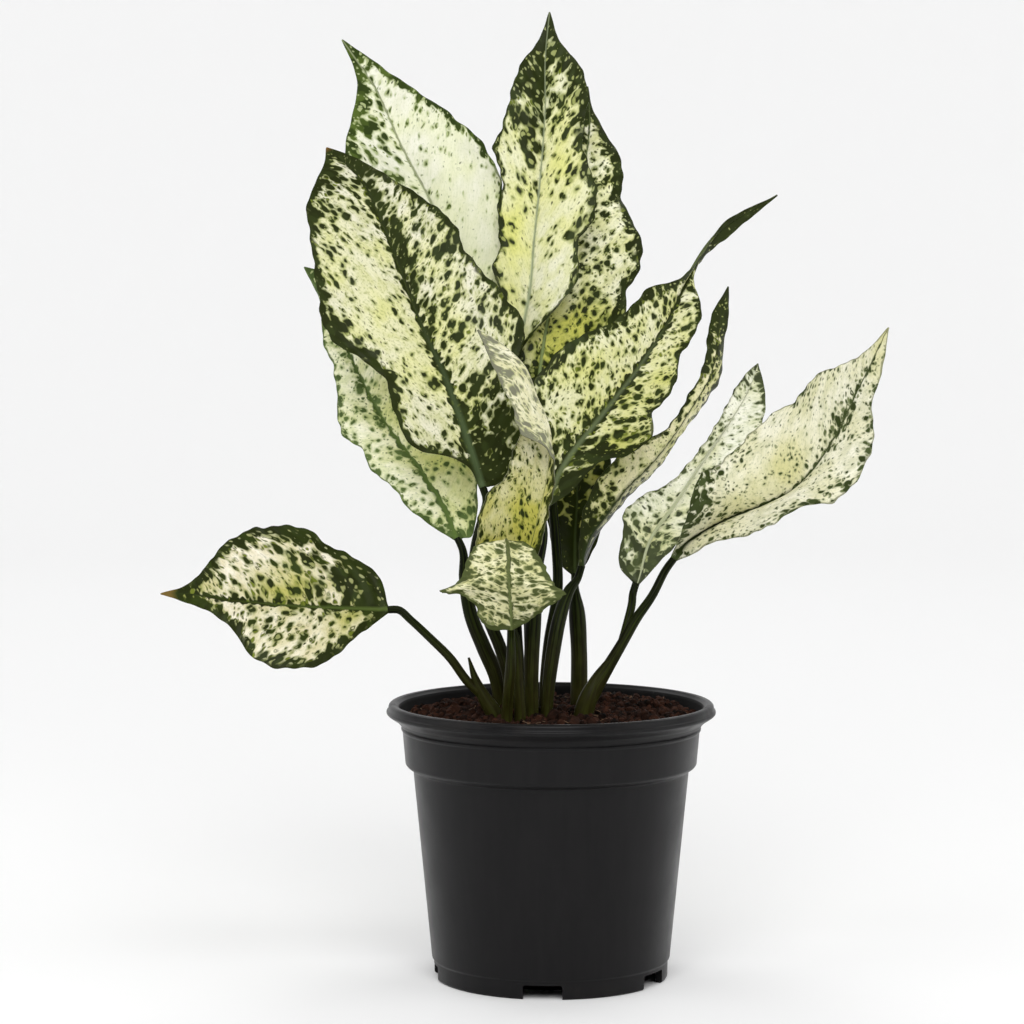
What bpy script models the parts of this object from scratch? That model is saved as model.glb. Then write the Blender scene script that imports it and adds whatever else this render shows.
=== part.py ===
# Potted chinese evergreen: a black nursery pot of soil with thirteen variegated leaves on green stalks.
# Lengths are millimetres and become metres where a mesh is made. Z is up and the viewer stands at -Y.

import math

import bmesh
import bpy
import numpy as np
from mathutils import Vector
from mathutils.geometry import delaunay_2d_cdt

mm = 0.001

# Pot
pot_height = 127.0
rim_radius = 75.3
mouth_radius = 70.8
collar_top_radius = 68.6
collar_base_radius = 67.0
collar_base_height = 98.0
waist_radius = 63.3
foot_radius = 54.0
foot_height = 8.5
wall = 1.9
pot_segments = 60
plinth_radius = 33.0
notch_width = 17.8
notch_height = 6.6
notch_bearings = (-94, -29, 43, 115, -173)

# Soil
soil_clearance = 0.3
soil_level = 119.9
soil_mound = 1.6
soil_spokes = 36
soil_points = 1250
# Heaps in the soil: place, reach and height
soil_heaps = ((51, 24, 17, 3.6), (26, 36, 12, 2.2), (-46, 20, 20, 1.4), (-12, 46, 15, 1.0))
crumb_count = 260
crumb_radius = 5.4
crumb_height = 2.6
crumb_seed = 4
hole_floor = 104.0
hole_clearance = 0.7

# Leaves
blade_thickness = 0.8
foot_width = 1.7
rib_depth = 1.9
rib_width = 2.2
blade_rows = 15
stalk_sides = 8
stalk_rings = 9
joint_gap = 0.7

# Where the plant is looked at from. A leaf that leans is moved along the lines of sight from there.
viewer = np.array([0.0, -1500.0, 330.0])

# Each blade: places along its spine from foot to tip, then the points that its two edges pass between
# foot and tip. Left and right are as seen on the upper face with the tip up. Lean is how much further
# back the tip lies than its place says, and turn how much the right edge does and the left edge doesn't.
# Puff is how far each half swells from flat, as a share of its width, and less than nothing where it
# swells towards the underside. Ripple is the height of the small waves at the edge.
leaves = {
    "low_left": {
        "spine": [(-74, -20, 172), (-95, -24, 173), (-112, -27, 174), (-134, -30, 176), (-150, -33, 178),
                  (-164, -36, 181), (-175, -38, 181)],
        "left": [(-89, -36, 160), (-101, -44, 151), (-116, -48, 148), (-132, -47, 153), (-142, -42, 164),
                 (-152, -38, 172), (-164, -37, 177)],
        "right": [(-78, -14, 186), (-90, -10, 195), (-102, -8, 200), (-113, -5, 208), (-126, -5, 209),
                  (-138, -8, 207), (-149, -14, 201), (-157, -24, 191), (-165, -34, 184)],
        "lean": -24,
        "turn": 0,
        "puff": 0.10,
        "ripple": 0.8,
        "colour": (0.30, 0.32, 0.13),
    },
    "big": {
        "spine": [(-31, -14, 227), (-36, -14, 243), (-47, -10, 274), (-61, -4, 305), (-76, 6, 343),
                  (-90, 16, 370), (-104, 22, 382)],
        "left": [(-37, -15, 236), (-46, -15, 241), (-62, -15, 245), (-70, -14, 258), (-75, -12, 275),
                 (-102, -8, 297), (-107, -2, 319), (-110, 3, 339), (-112, 9, 356), (-108, 14, 367),
                 (-104.5, 19, 376)],
        "right": [(-23, -16, 229), (-17, -17, 237), (-13, -18, 250), (-15, -18, 266), (-15, -15, 285),
                  (-12, -11, 300), (-22, -8, 315), (-40, -2, 336), (-44, 1, 346), (-55, 5, 356),
                  (-74, 11, 368), (-90, 17, 377), (-97, 20, 380)],
        "lean": 22,
        "turn": 4,
        "puff": 0.08,
        "ripple": 0.9,
        "colour": (0.42, 0.44, 0.19),
    },
    "low_behind": {
        "spine": [(-43, 6, 202), (-50, 10, 217), (-59, 14, 231), (-79, 22, 258), (-92, 30, 282),
                  (-101, 36, 302), (-116, 42, 327)],
        "left": [(-57, 9, 209), (-66, 11, 216), (-75, 15, 227), (-83, 18, 232), (-87, 21, 241),
                 (-98, 26, 251), (-100, 28, 263), (-102, 31, 281), (-106, 34, 291), (-109, 40, 312)],
        "right": [(-37, 4, 203), (-35, 5, 209), (-34, 6, 220), (-35, 9, 234), (-41, 14, 250), (-59, 23, 279),
                  (-80, 31, 303), (-101, 39, 323)],
        "lean": 34,
        "turn": -4,
        "puff": 0.08,
        "ripple": 0.9,
        "colour": (0.43, 0.47, 0.26),
    },
    "high_left": {
        "spine": [(-26, 15, 293), (-38, 25, 321), (-53, 35, 351), (-72, 46, 387), (-82, 53, 409),
                  (-94, 58, 427), (-99, 60, 434)],
        "left": [(-38, 18, 300), (-54, 26, 316), (-70, 36, 340), (-85, 43, 361), (-97, 48, 381),
                 (-93, 53, 400), (-92, 57, 416)],
        "right": [(-23, 19, 309), (-22, 27, 335), (-22, 34, 358), (-29, 40, 380), (-46, 46, 397),
                  (-58, 49, 406), (-73, 54, 416), (-90, 58, 428)],
        "lean": 34,
        "turn": 4,
        "puff": 0.08,
        "ripple": 0.6,
        "colour": (0.60, 0.60, 0.32),
    },
    "top": {
        "spine": [(-15, 9, 290), (-10, 17, 316), (-8, 24, 339), (-5, 32, 371), (-3, 40, 400),
                  (-3, 46, 424), (-1, 48, 446)],
        "left": [(-19, 11, 301), (-23, 14, 314), (-27, 17, 327), (-24, 19, 336), (-25, 23, 351),
                 (-23, 27, 369), (-27, 29, 381), (-22, 34, 395), (-20, 36, 404), (-14, 42, 422),
                 (-6, 46, 433)],
        "right": [(-9, 8, 296), (1, 10, 307), (13, 14, 325), (12, 18, 336), (20, 22, 351),
                  (20, 26, 366), (15, 31, 381), (15, 34, 392), (17, 38, 407), (13, 43, 421),
                  (4, 46, 432)],
        "lean": 26,
        "turn": -3,
        "puff": 0.08,
        "ripple": 0.7,
        "colour": (0.50, 0.54, 0.24),
    },
    "behind_top": {
        "spine": [(-6, 12, 272), (-5, 14, 282), (-1, 20, 306), (5, 29, 328), (11, 39, 351), (16, 49, 377),
                  (18, 55, 396), (17, 60, 412)],
        "left": [(-14, 12, 279), (-18, 16, 292), (-14, 23, 310), (-7, 31, 327), (0, 38, 345),
                 (5, 46, 365), (10, 54, 387), (15, 58, 403)],
        "right": [(4, 15, 276), (22, 20, 290), (34, 26, 306), (35, 29, 315), (42, 32, 329),
                  (42, 35, 338), (33, 42, 358), (33, 48, 376), (24, 54, 392), (19, 57, 402)],
        "lean": 34,
        "turn": 4,
        "puff": 0.08,
        "ripple": 0.6,
        "colour": (0.42, 0.46, 0.12),
    },
    "right": {
        "spine": [(-2, -22, 220), (3, -21, 233), (21, -14, 258), (33, -9, 273), (44, -4, 288),
                  (53, 2, 302), (63, 8, 323), (74, 12, 340), (104, 18, 360)],
        "left": [(-2, -22, 236), (-3, -21, 252), (-9, -19, 273), (-3, -17, 282), (11, -13, 295),
                 (21, -9, 299), (32, -6, 305), (44, -2, 317), (59, 5, 322), (68, 10, 332),
                 (78, 13, 346)],
        "right": [(8, -18, 225), (21, -14, 238), (39, -9, 244), (46, -8, 252), (46, -8, 261),
                  (54, -7, 269), (60, -5, 289), (67, -2, 300), (68, 1, 310), (65, 7, 322),
                  (69, 10, 330), (80, 13, 340)],
        "lean": 34,
        "turn": 5,
        "puff": 0.10,
        "ripple": 0.7,
        "colour": (0.46, 0.48, 0.20),
    },
    "slender": {
        "spine": [(14, 10, 189), (18, 10, 202), (25, 10, 212), (34, 11, 224), (46, 12, 236),
                  (57, 14, 250), (66, 16, 264), (74, 19, 278), (77, 22, 293), (79, 24, 306),
                  (82, 25, 318)],
        "left": [(13, 8, 201), (15, 5, 216), (21, 4, 229), (32, 5, 241), (44, 8, 248), (53, 11, 253),
                 (63, 14, 267), (70, 18, 281), (72, 20, 293), (74, 22, 304)],
        "right": [(16, 15, 191), (21, 19, 202), (29, 22, 212), (38, 25, 223), (51, 27, 235),
                  (61, 28, 250), (71, 29, 264), (79, 28, 276), (80, 27, 291), (82, 26, 304)],
        "lean": 44,
        "turn": 0,
        "puff": 0.06,
        "ripple": 0.6,
        "colour": (0.36, 0.34, 0.18),
    },
    "dark": {
        "spine": [(11, 23, 184), (11, 25, 199), (12, 27, 219), (12, 30, 237), (18, 37, 265),
                  (25, 44, 287)],
        "left": [(6, 21, 187), (1, 21, 194), (-1, 21, 206), (-2, 22, 219), (-1, 25, 233), (3, 30, 253),
                 (12, 37, 272)],
        "right": [(17, 25, 190), (22, 27, 201), (24, 28, 213), (26, 30, 228), (29, 33, 246),
                  (30, 38, 265), (29, 42, 279)],
        "lean": 34,
        "turn": -4,
        "puff": 0.08,
        "ripple": 0.5,
        "colour": (0.12, 0.14, 0.05),
    },
    "far_right": {
        "spine": [(56, -6, 194), (61, -8, 201), (71, -10, 208), (83, -12, 214), (98, -15, 220),
                  (109, -17, 226), (117, -19, 234), (127, -21, 249), (139, -24, 274), (151, -26, 300)],
        "left": [(58, -15, 204), (62, -24, 218), (67, -22, 233), (76, -14, 238), (88, -5, 248),
                 (101, 0, 260), (112, 0, 267), (119, -2, 276), (134, -12, 284), (140, -18, 288), (146, -23, 294)],
        "right": [(63, -12, 196), (73, -20, 203), (89, -30, 207), (99, -36, 212), (112, -38, 221),
                  (126, -40, 223), (135, -38, 230), (141, -36, 240), (144, -34, 252), (143, -32, 264),
                  (148, -29, 280)],
        "lean": -30,
        "turn": 0,
        "puff": 0.08,
        "ripple": 0.6,
        "colour": (0.55, 0.58, 0.40),
    },
    "pale_right": {
        "spine": [(39, 2, 182), (45, 6, 202), (56, 11, 217), (69, 17, 236), (83, 23, 256),
                  (92, 27, 271), (96, 29, 282)],
        "left": [(46, 6, 187), (56, 12, 197), (69, 18, 210), (86, 24, 224), (96, 28, 242),
                 (99, 29, 256), (99, 29, 272)],
        "right": [(32, 0, 189), (31, 1, 196), (33, 2, 204), (33, 4, 213), (44, 9, 223), (52, 11, 226),
                  (63, 15, 236), (72, 18, 247), (79, 21, 259), (87, 25, 273), (93, 28, 280)],
        "lean": 40,
        "turn": 0,
        "puff": 0.08,
        "ripple": 0.6,
        "colour": (0.55, 0.60, 0.42),
    },
    "small_front": {
        "spine": [(-18, -40, 166), (-18, -48, 179), (-19, -54, 192), (-19, -53, 201), (-20, -47, 206),
                  (-20, -39, 203)],
        "left": [(-14, -41, 167), (-8, -44, 171), (-1, -50, 177), (6, -56, 183), (1, -51, 187),
                 (-2, -48, 193), (-7, -45, 201), (-13, -42, 205)],
        "right": [(-25, -41, 165), (-31, -44, 169), (-34, -48, 177), (-40, -52, 182), (-49, -58, 184),
                  (-41, -50, 188), (-38, -48, 195), (-34, -45, 203), (-27, -42, 205)],
        "lean": 0,
        "turn": 0,
        "puff": 0.05,
        "ripple": 0.3,
        "colour": (0.38, 0.40, 0.20),
    },
    "folded": {
        "spine": [(-17, -28, 174), (-11, -29, 195), (-6, -31, 215), (-2, -33, 233), (-1, -34, 245),
                  (-3, -35, 259), (-7, -36, 268), (-13, -38, 283), (-21, -39, 291), (-33, -41, 299)],
        "left": [(-27, -31, 185), (-33, -34, 197), (-33, -37, 208), (-31, -41, 220), (-27, -42, 228), (-20, -40, 234),
                 (-18, -40, 242), (-14, -40, 252), (-17, -40, 266), (-23, -40, 280), (-29, -39, 291)],
        "right": [(-9, -32, 190), (-2, -37, 214), (1, -40, 232), (0, -43, 243), (-6, -47, 250),
                  (-13, -49, 253), (-17, -49, 264), (-22, -49, 275), (-27, -47, 286), (-30, -45, 293)],
        "lean": -6,
        "turn": 0,
        "puff": -0.12,
        "ripple": 0.3,
        "colour": (0.50, 0.48, 0.18),
    },
}

# Each stalk: places from the soil up, each with its radius. It ends at the foot of the blade it carries.
stalks = {
    "low_left": [(-26, -18, 124, 2.6), (-31, -18, 132, 2.3), (-38, -18, 139, 2.1), (-46, -19, 150, 2.0),
                 (-55, -19, 159, 1.9), (-64, -19.5, 167.5, 1.8)],
    "big": [(-18, -9, 124, 3.0), (-19, -10, 138, 3.0), (-23, -11, 153, 2.9), (-29, -12, 168, 2.8),
            (-35, -12, 187, 2.7), (-34, -13, 201, 2.6), (-31, -13.5, 213, 2.4)],
    "low_behind": [(-23, 2, 124, 3.6), (-25, 2, 138, 3.6), (-31, 3, 152, 3.5), (-37, 4, 167, 3.2),
                   (-40, 5, 184, 2.6)],
    "high_left": [(-14, 3, 124, 2.8), (-16, 3, 160, 2.6), (-19, 5, 211, 2.3), (-22, 9, 252, 2.0)],
    "top": [(-9, -7, 124, 2.8), (-10, -3, 166, 2.6), (-11, 0, 211, 2.3), (-13, 4, 255, 2.0)],
    "behind_top": [(-3, 1, 124, 2.8), (-1, 4, 154, 2.6), (3, 8, 179, 2.4), (2, 9, 202, 2.2),
                   (-2, 10, 239, 2.0)],
    "right": [(-9, -20, 124, 3.3), (-9, -21, 145, 3.4), (-8, -22, 168, 3.6), (-7, -23, 190, 3.2),
              (-4, -23, 207, 2.5)],
    "slender": [(-2, -13, 124, 2.8), (-1, -12, 137, 3.0), (1, -9, 152, 3.3), (4, -4, 167, 3.2),
                (8, 3, 178, 2.6)],
    "dark": [(13, 20, 124, 4.0), (13, 21, 149, 3.8), (12, 22, 167, 3.7)],
    "far_right": [(15, -14, 124, 4.0), (20, -13, 135, 3.6), (26, -12, 145, 2.9), (32, -11, 155, 2.5),
                  (39, -9, 167, 2.3), (46, -8, 177, 2.0)],
    "pale_right": [(32, -11, 155, 2.0), (35, -7, 165, 2.0), (37, -3, 173, 1.9)],
    "small_front": [(-20, -30, 124, 2.6), (-19, -34, 137, 2.5), (-18, -37, 151, 2.3)],
    "folded": [(-14, -27, 124, 2.6), (-15, -27, 141, 2.5), (-16, -27, 159, 2.2)],
}

# Sheaths round the foot of the two outer stalks, each rising to a point beside its stalk
sheaths = {
    "low_left": [(-26, -18, 124, 4.0), (-30, -18, 131, 3.2), (-34, -18, 139, 2.0), (-37.5, -18.5, 150, 0.5)],
    "far_right": [(15, -14, 124, 4.6), (17, -14, 131, 4.2), (21, -13, 140, 2.6), (26, -13, 148, 1.2)],
}


# A stalk that grows out of another one instead of out of the soil
branches = {"pale_right": "far_right"}


def clear_scene():
    for thing in list(bpy.data.objects):
        bpy.data.objects.remove(thing, do_unlink=True)


def material(name, colour, roughness):
    made = bpy.data.materials.new(name)
    made.use_nodes = True
    shader = made.node_tree.nodes["Principled BSDF"]
    shader.inputs["Base Color"].default_value = (*colour, 1)
    shader.inputs["Roughness"].default_value = roughness
    return made


def solid(name, points, faces, surface=None):
    """A mesh object from points in millimetres, with its faces turned outward."""
    mesh = bpy.data.meshes.new(name)
    mesh.from_pydata([tuple(point) for point in np.array(points, float) * mm], [], faces)
    built = bmesh.new()
    built.from_mesh(mesh)
    bmesh.ops.recalc_face_normals(built, faces=built.faces)
    built.to_mesh(mesh)
    built.free()
    made = bpy.data.objects.new(name, mesh)
    bpy.context.scene.collection.objects.link(made)
    if surface:
        mesh.materials.append(surface)
    return made


def combine(target, others, operation):
    """Adds or cuts all the other objects in one Boolean, applies it and removes them."""
    group = bpy.data.collections.new("helpers")
    bpy.context.scene.collection.children.link(group)
    for other in others:
        group.objects.link(other)
    modifier = target.modifiers.new(operation, "BOOLEAN")
    modifier.operation = operation
    modifier.operand_type = "COLLECTION"
    modifier.collection = group
    modifier.solver = "EXACT"
    graph = bpy.context.evaluated_depsgraph_get()
    result = bpy.data.meshes.new_from_object(target.evaluated_get(graph))
    target.modifiers.clear()
    target.data = result
    for other in others:
        bpy.data.objects.remove(other, do_unlink=True)
    bpy.data.collections.remove(group)


def curve_through(places, shares):
    """Points of a smooth curve through the places, at shares of its length, with its last slope free."""
    places = np.array(places, float)
    steps = np.linalg.norm(np.diff(places[:, :3], axis=0), axis=1)
    knots = np.concatenate([[0], np.cumsum(steps)])
    slopes = np.gradient(places, knots, axis=0)
    at = np.clip(np.array(shares, float), 0, 1) * knots[-1]
    span = np.clip(np.searchsorted(knots, at, side="right") - 1, 0, len(knots) - 2)
    width = steps[span][:, None]
    t = (at - knots[span])[:, None] / width
    return (
        (2 * t**3 - 3 * t**2 + 1) * places[span]
        + (t**3 - 2 * t**2 + t) * width * slopes[span]
        + (3 * t**2 - 2 * t**3) * places[span + 1]
        + (t**3 - t**2) * width * slopes[span + 1]
    )


def unit(vectors):
    return vectors / np.linalg.norm(vectors, axis=-1, keepdims=True)


def turned(profile, segments):
    """Points and faces of a closed (radius, height) profile turned round the Z axis."""
    points = []
    faces = []
    for step in range(segments):
        angle = 2 * math.pi * step / segments
        points += [(r * math.cos(angle), r * math.sin(angle), z) for r, z in profile]
    count = len(profile)
    for step in range(segments):
        here = step * count
        there = (step + 1) % segments * count
        for i in range(count):
            after = (i + 1) % count
            faces.append((here + i, there + i, there + after, here + after))
    return points, faces


def make_pot():
    """Thin wall with a rolled rim, a stepped collar and a foot ring round a low central plinth."""
    lip = [(71.4, pot_height), (73.4, pot_height + 0.1), (74.9, 125.6), (rim_radius, 123.9),
           (75.0, 121.6), (73.6, 120.3), (70.4, 119.7), (69.4, 117.6)]
    outside = lip + [
        (collar_top_radius, 115.5), (collar_base_radius + 0.1, collar_base_height + 1.2),
        (collar_base_radius - 0.9, collar_base_height), (waist_radius + 0.2, collar_base_height - 1.6),
        (waist_radius, collar_base_height - 4), (foot_radius + 1.0, foot_height + 0.6),
        (foot_radius + 0.1, foot_height - 0.5), (foot_radius, 0.8), (foot_radius - 0.8, 0),
        (foot_radius - 3.2, 0), (foot_radius - 3.6, 5.2), (plinth_radius + 3.4, 5.2),
        (plinth_radius, 0),
    ]
    inside = [
        (plinth_radius - 1.2, wall), (plinth_radius + 2.2, 5.2 + wall), (foot_radius - 1.4, 5.2 + wall),
        (foot_radius - 0.6, foot_height + 1.6), (waist_radius - wall, collar_base_height - 3),
        (waist_radius - wall + 0.6, collar_base_height + 0.4),
        (collar_base_radius - wall, collar_base_height + 2.4), (collar_top_radius - wall, 116.5),
        (68.8, 121.5), (70.2, 125.8),
    ]
    points, faces = turned(outside + inside, pot_segments)
    # The two rings at the middle of the floor are closed by a flat face each.
    count = len(outside) + len(inside)
    under = len(outside) - 1
    faces = [face for face in faces if not (face[0] % count == under and face[3] % count == under + 1)]
    faces.append(tuple(step * count + under for step in range(pot_segments)))
    faces.append(tuple(step * count + under + 1 for step in range(pot_segments)))
    pot = solid("pot", points, faces, material("black_plastic", (0.018, 0.018, 0.020), 0.42))
    cutters = []
    for bearing in notch_bearings:
        angle = math.radians(bearing)
        out = np.array([math.cos(angle), math.sin(angle), 0])
        side = np.array([-math.sin(angle), math.cos(angle), 0])
        corners = [out * reach + side * half + np.array([0, 0, height])
                   for reach in (foot_radius - 7, foot_radius + 4)
                   for half in (-notch_width / 2, notch_width / 2)
                   for height in (-2, notch_height)]
        box_faces = [(0, 1, 3, 2), (4, 6, 7, 5), (0, 4, 5, 1), (2, 3, 7, 6), (0, 2, 6, 4), (1, 5, 7, 3)]
        cutters.append(solid("notch", corners, box_faces))
    combine(pot, cutters, "DIFFERENCE")


def spread(count, reach):
    """Places spread evenly over a disc, like the seeds of a sunflower."""
    step = np.arange(count) + 0.5
    angle = step * math.pi * (3 - math.sqrt(5))
    r = reach * np.sqrt(step / count)
    return np.stack([r * np.cos(angle), r * np.sin(angle)], axis=1)


def soil_crumbs():
    """Each crumb's place, radius and height, drawn at random round an even spread."""
    draw = np.random.default_rng(crumb_seed)
    places = spread(crumb_count, mouth_radius - 5) + draw.uniform(-2.6, 2.6, (crumb_count, 2))
    size = draw.uniform(0.5, 1.0, (crumb_count, 1))
    return np.concatenate([places, size * crumb_radius, size * crumb_height], axis=1)


def soil_height(x, y, crumbs):
    """Level of the soil: a low mound with a few heaps, and round crumbs standing out of it."""
    reach = min(1, math.hypot(x, y) / mouth_radius)
    heaps = sum(high * math.exp(-((x - hx) ** 2 + (y - hy) ** 2) / far**2) for hx, hy, far, high in soil_heaps)
    away = np.hypot(x - crumbs[:, 0], y - crumbs[:, 1]) / crumbs[:, 2]
    relief = max(0, (crumbs[:, 3] * (1 - away**2)).max())
    return soil_level + soil_mound * (1 - reach**2) + (heaps + relief) * (1 - reach**8)


def make_soil():
    """Soil filling the pot, with a plain round hole for each stalk."""
    inner = [(plinth_radius - 1.6, wall + soil_clearance), (plinth_radius + 1.8, 5.5 + wall),
             (foot_radius - 1.8, 5.5 + wall), (foot_radius - 1.0, foot_height + 1.8),
             (waist_radius - wall - 0.5, collar_base_height - 3),
             (waist_radius - wall + 0.2, collar_base_height + 0.8),
             (collar_base_radius - wall - 0.5, collar_base_height + 2.8),
             (collar_top_radius - wall - 0.5, 116.2), (mouth_radius - 3.0, soil_level)]
    points = []
    for r, z in inner:
        for spoke in range(soil_spokes):
            angle = 2 * math.pi * spoke / soil_spokes
            points.append((r * math.cos(angle), r * math.sin(angle), z))
    faces = [tuple(range(soil_spokes))]
    for ring in range(len(inner) - 1):
        for spoke in range(soil_spokes):
            after = (spoke + 1) % soil_spokes
            low, high = ring * soil_spokes, (ring + 1) * soil_spokes
            faces.append((low + spoke, low + after, high + after))
            faces.append((low + spoke, high + after, high + spoke))
    # The top is a net of triangles over evenly spread places, joined to the last ring.
    crumbs = soil_crumbs()
    last = len(points) - soil_spokes
    places = spread(soil_points, mouth_radius - 5.0)
    points += [(x, y, soil_height(x, y, crumbs)) for x, y in places]
    flat = [Vector((point[0], point[1])) for point in points[last:]]
    net = delaunay_2d_cdt(flat, [], [], 0, 1e-6)
    faces += [tuple(last + net[3][corner][0] for corner in face) for face in net[2]]
    soil = solid("soil", points, faces, material("soil", (0.045, 0.018, 0.012), 0.95))
    holes = []
    for name, stalk in stalks.items():
        if name in branches:
            continue
        x, y, _, radius = sheaths[name][0] if name in sheaths else stalk[0]
        holes.append(upright_rod("hole", x, y, radius + hole_clearance, hole_floor, pot_height + 10))
    combine(soil, holes, "DIFFERENCE")


def upright_rod(name, x, y, radius, low, high, sides=16):
    points = []
    for z in (low, high):
        for side in range(sides):
            angle = 2 * math.pi * side / sides
            points.append((x + radius * math.cos(angle), y + radius * math.sin(angle), z))
    faces = [tuple(range(sides)), tuple(range(sides, 2 * sides))]
    for side in range(sides):
        after = (side + 1) % sides
        faces.append((side, after, sides + after, sides + side))
    return solid(name, points, faces)


def tube(name, places, rings, sides, surface=None):
    """A round stem along places that each give their radius, with flat ends."""
    path = curve_through(places, np.linspace(0, 1, rings))
    along = unit(np.gradient(path[:, :3], axis=0))
    side = unit(np.cross(along, [0.2, 1, 0.1]))
    front = np.cross(along, side)
    points = []
    for i in range(rings):
        for step in range(sides):
            angle = 2 * math.pi * step / sides
            away = math.cos(angle) * side[i] + math.sin(angle) * front[i]
            points.append(path[i, :3] + path[i, 3] * away)
    faces = [tuple(range(sides)), tuple(range((rings - 1) * sides, rings * sides))]
    for i in range(rings - 1):
        for step in range(sides):
            after = (step + 1) % sides
            low, high = i * sides, (i + 1) * sides
            faces.append((low + step, low + after, high + after))
            faces.append((low + step, high + after, high + step))
    return solid(name, points, faces, surface)


def stalk_places(name):
    """The stalk's places, standing upright in its hole and ending just short of its blade's foot."""
    foot, beyond = blade_curves(leaves[name])[0][:2]
    heading = unit(foot - beyond)
    end = foot + joint_gap * heading
    before = foot + 5 * heading
    return stalks[name] + [(*before, foot_width + 0.1), (*end, foot_width)]


def make_stalk(name, surface):
    places = stalk_places(name)
    x, y, _, radius = stalks[name][0]
    places = [(x, y, hole_floor + soil_clearance, radius), (x, y, hole_floor + 10, radius)] + places
    stalk = tube("stalk_" + name, places, stalk_rings + 3, stalk_sides, surface)
    joined = []
    if name in sheaths:
        x, y, _, radius = sheaths[name][0]
        root = [(x, y, hole_floor + 0.7, radius), (x, y, hole_floor + 10, radius)]
        joined.append(tube("sheath", root + sheaths[name], stalk_rings, stalk_sides))
    joined += [tube("branch", stalk_places(other), stalk_rings, stalk_sides)
               for other, carrier in branches.items() if carrier == name]
    if joined:
        combine(stalk, joined, "UNION")


def blade_curves(leaf):
    """The spine and the two edges as arrays, with the blade's lean and turn put in."""
    foot = np.array(leaf["spine"][0], float)
    length = np.linalg.norm(np.array(leaf["spine"][-1]) - foot)
    curves = []
    for part, side in (("spine", 0), ("left", -1), ("right", 1)):
        places = np.array(leaf[part], float)
        share = np.minimum(np.linalg.norm(places - foot, axis=1) / length, 1)
        deeper = leaf["lean"] * share**2 + side * leaf["turn"] * np.sin(math.pi * share)
        sight = places - viewer
        curves.append(places + sight * (deeper / sight[:, 1])[:, None])
    return curves


def blade_surface(leaf, rows, columns):
    """Grid of points on the blade's middle surface, and how far each column lies from the spine."""
    shares = np.linspace(0, 1, rows)
    shares = 0.6 * shares + 0.4 * (1 - np.cos(math.pi * shares)) / 2
    middle, left, right = blade_curves(leaf)
    spine = curve_through(middle, shares)
    along = unit(np.gradient(spine, axis=0))
    # The direction across the blade at its foot and at its tip
    across = [right[end] - left[end] for end in (0, -1)]
    across = [unit(side - along[end] * (side @ along[end])) for side, end in zip(across, (0, -1))]
    edges = []
    for edge, turn in ((left, -1), (right, 1)):
        start = middle[0] + turn * foot_width * across[0]
        end = middle[-1] + turn * 0.4 * across[1]
        edges.append(curve_through([start, *edge, end], shares))
    grid = np.zeros((rows, 2 * len(columns) + 1, 3))
    grid[:, len(columns)] = spine
    for edge, turn in zip(edges, (-1, 1)):
        reach = edge - spine
        width = np.linalg.norm(reach, axis=1, keepdims=True)
        normal = unit(np.cross(turn * reach, along))
        swell = normal * width * leaf["puff"] * np.sin(math.pi * shares)[:, None]
        wave = normal * leaf["ripple"] * (np.sin(math.pi * shares) * np.sin(21 * shares + 1.5 * turn))[:, None]
        for i, column in enumerate(columns):
            if column == columns[0]:
                column = np.minimum(0.5, rib_width * (1 - 0.7 * shares[:, None]) / width)
            place = spine + reach * column + swell * 4 * column * (1 - column) + wave * column**2
            grid[:, len(columns) + turn * (i + 1)] = place
    return grid, shares


def make_blade(name, leaf):
    """A thin waved blade, thicker along the midrib on its underside, ending in a blunt foot."""
    columns = (0.1, 0.55, 1.0)
    grid, shares = blade_surface(leaf, blade_rows, columns)
    rows, wide = grid.shape[:2]
    middle = wide // 2
    normal = unit(np.cross(np.gradient(grid, axis=1), np.gradient(grid, axis=0)))
    normal[0] = normal[0, middle]
    normal[-1] = unit(normal[-2].mean(axis=0))
    # A leaf that is folded shut is thick towards its underside only, so its two halves stay apart.
    above = blade_thickness * (0.1 if leaf["puff"] < 0 else 0.5)
    upper = grid + normal * above
    lower = grid - normal * (blade_thickness - above)
    lower[:, middle] -= normal[:, middle] * (rib_depth * (1 - 0.8 * shares))[:, None]
    # The foot's end is as deep as the stalk that it meets.
    for column in range(wide):
        round_off = math.sqrt(1 - ((column - middle) / (middle + 1)) ** 2)
        upper[0, column] = grid[0, column] + normal[0, column] * foot_width * 0.6 * round_off
        lower[0, column] = grid[0, column] - normal[0, column] * foot_width * 0.9 * round_off
    points = np.concatenate([upper.reshape(-1, 3), lower.reshape(-1, 3)])
    under = rows * wide
    faces = []
    for i in range(rows - 1):
        for j in range(wide - 1):
            a, b = i * wide + j, i * wide + j + 1
            c, d = a + wide, b + wide
            halves = ((a, b, d), (a, d, c)) if j < middle else ((a, b, c), (b, d, c))
            for half in halves:
                faces.append(half)
                faces.append(tuple(under + corner for corner in reversed(half)))
        for j in (0, wide - 1):
            a, c = i * wide + j, (i + 1) * wide + j
            faces.append((a, c, under + c))
            faces.append((a, under + c, under + a))
    for row in (0, (rows - 1) * wide):
        for j in range(wide - 1):
            faces.append((row + j, row + j + 1, under + row + j + 1, under + row + j))
    solid("blade_" + name, points, faces, material("leaf_" + name, leaf["colour"], 0.5))


clear_scene()
make_pot()
make_soil()
green = material("stalk_green", (0.035, 0.055, 0.018), 0.5)
for leaf_name in leaves:
    make_blade(leaf_name, leaves[leaf_name])
    if leaf_name not in branches:
        make_stalk(leaf_name, green)
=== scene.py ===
# Potted chinese evergreen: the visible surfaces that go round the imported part.
# Lengths are millimetres and become metres where a mesh is made. Z is up and the viewer stands at -Y.

import math
from functools import partial

import bmesh
import bpy
import numpy as np
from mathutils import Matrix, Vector, noise


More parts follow.
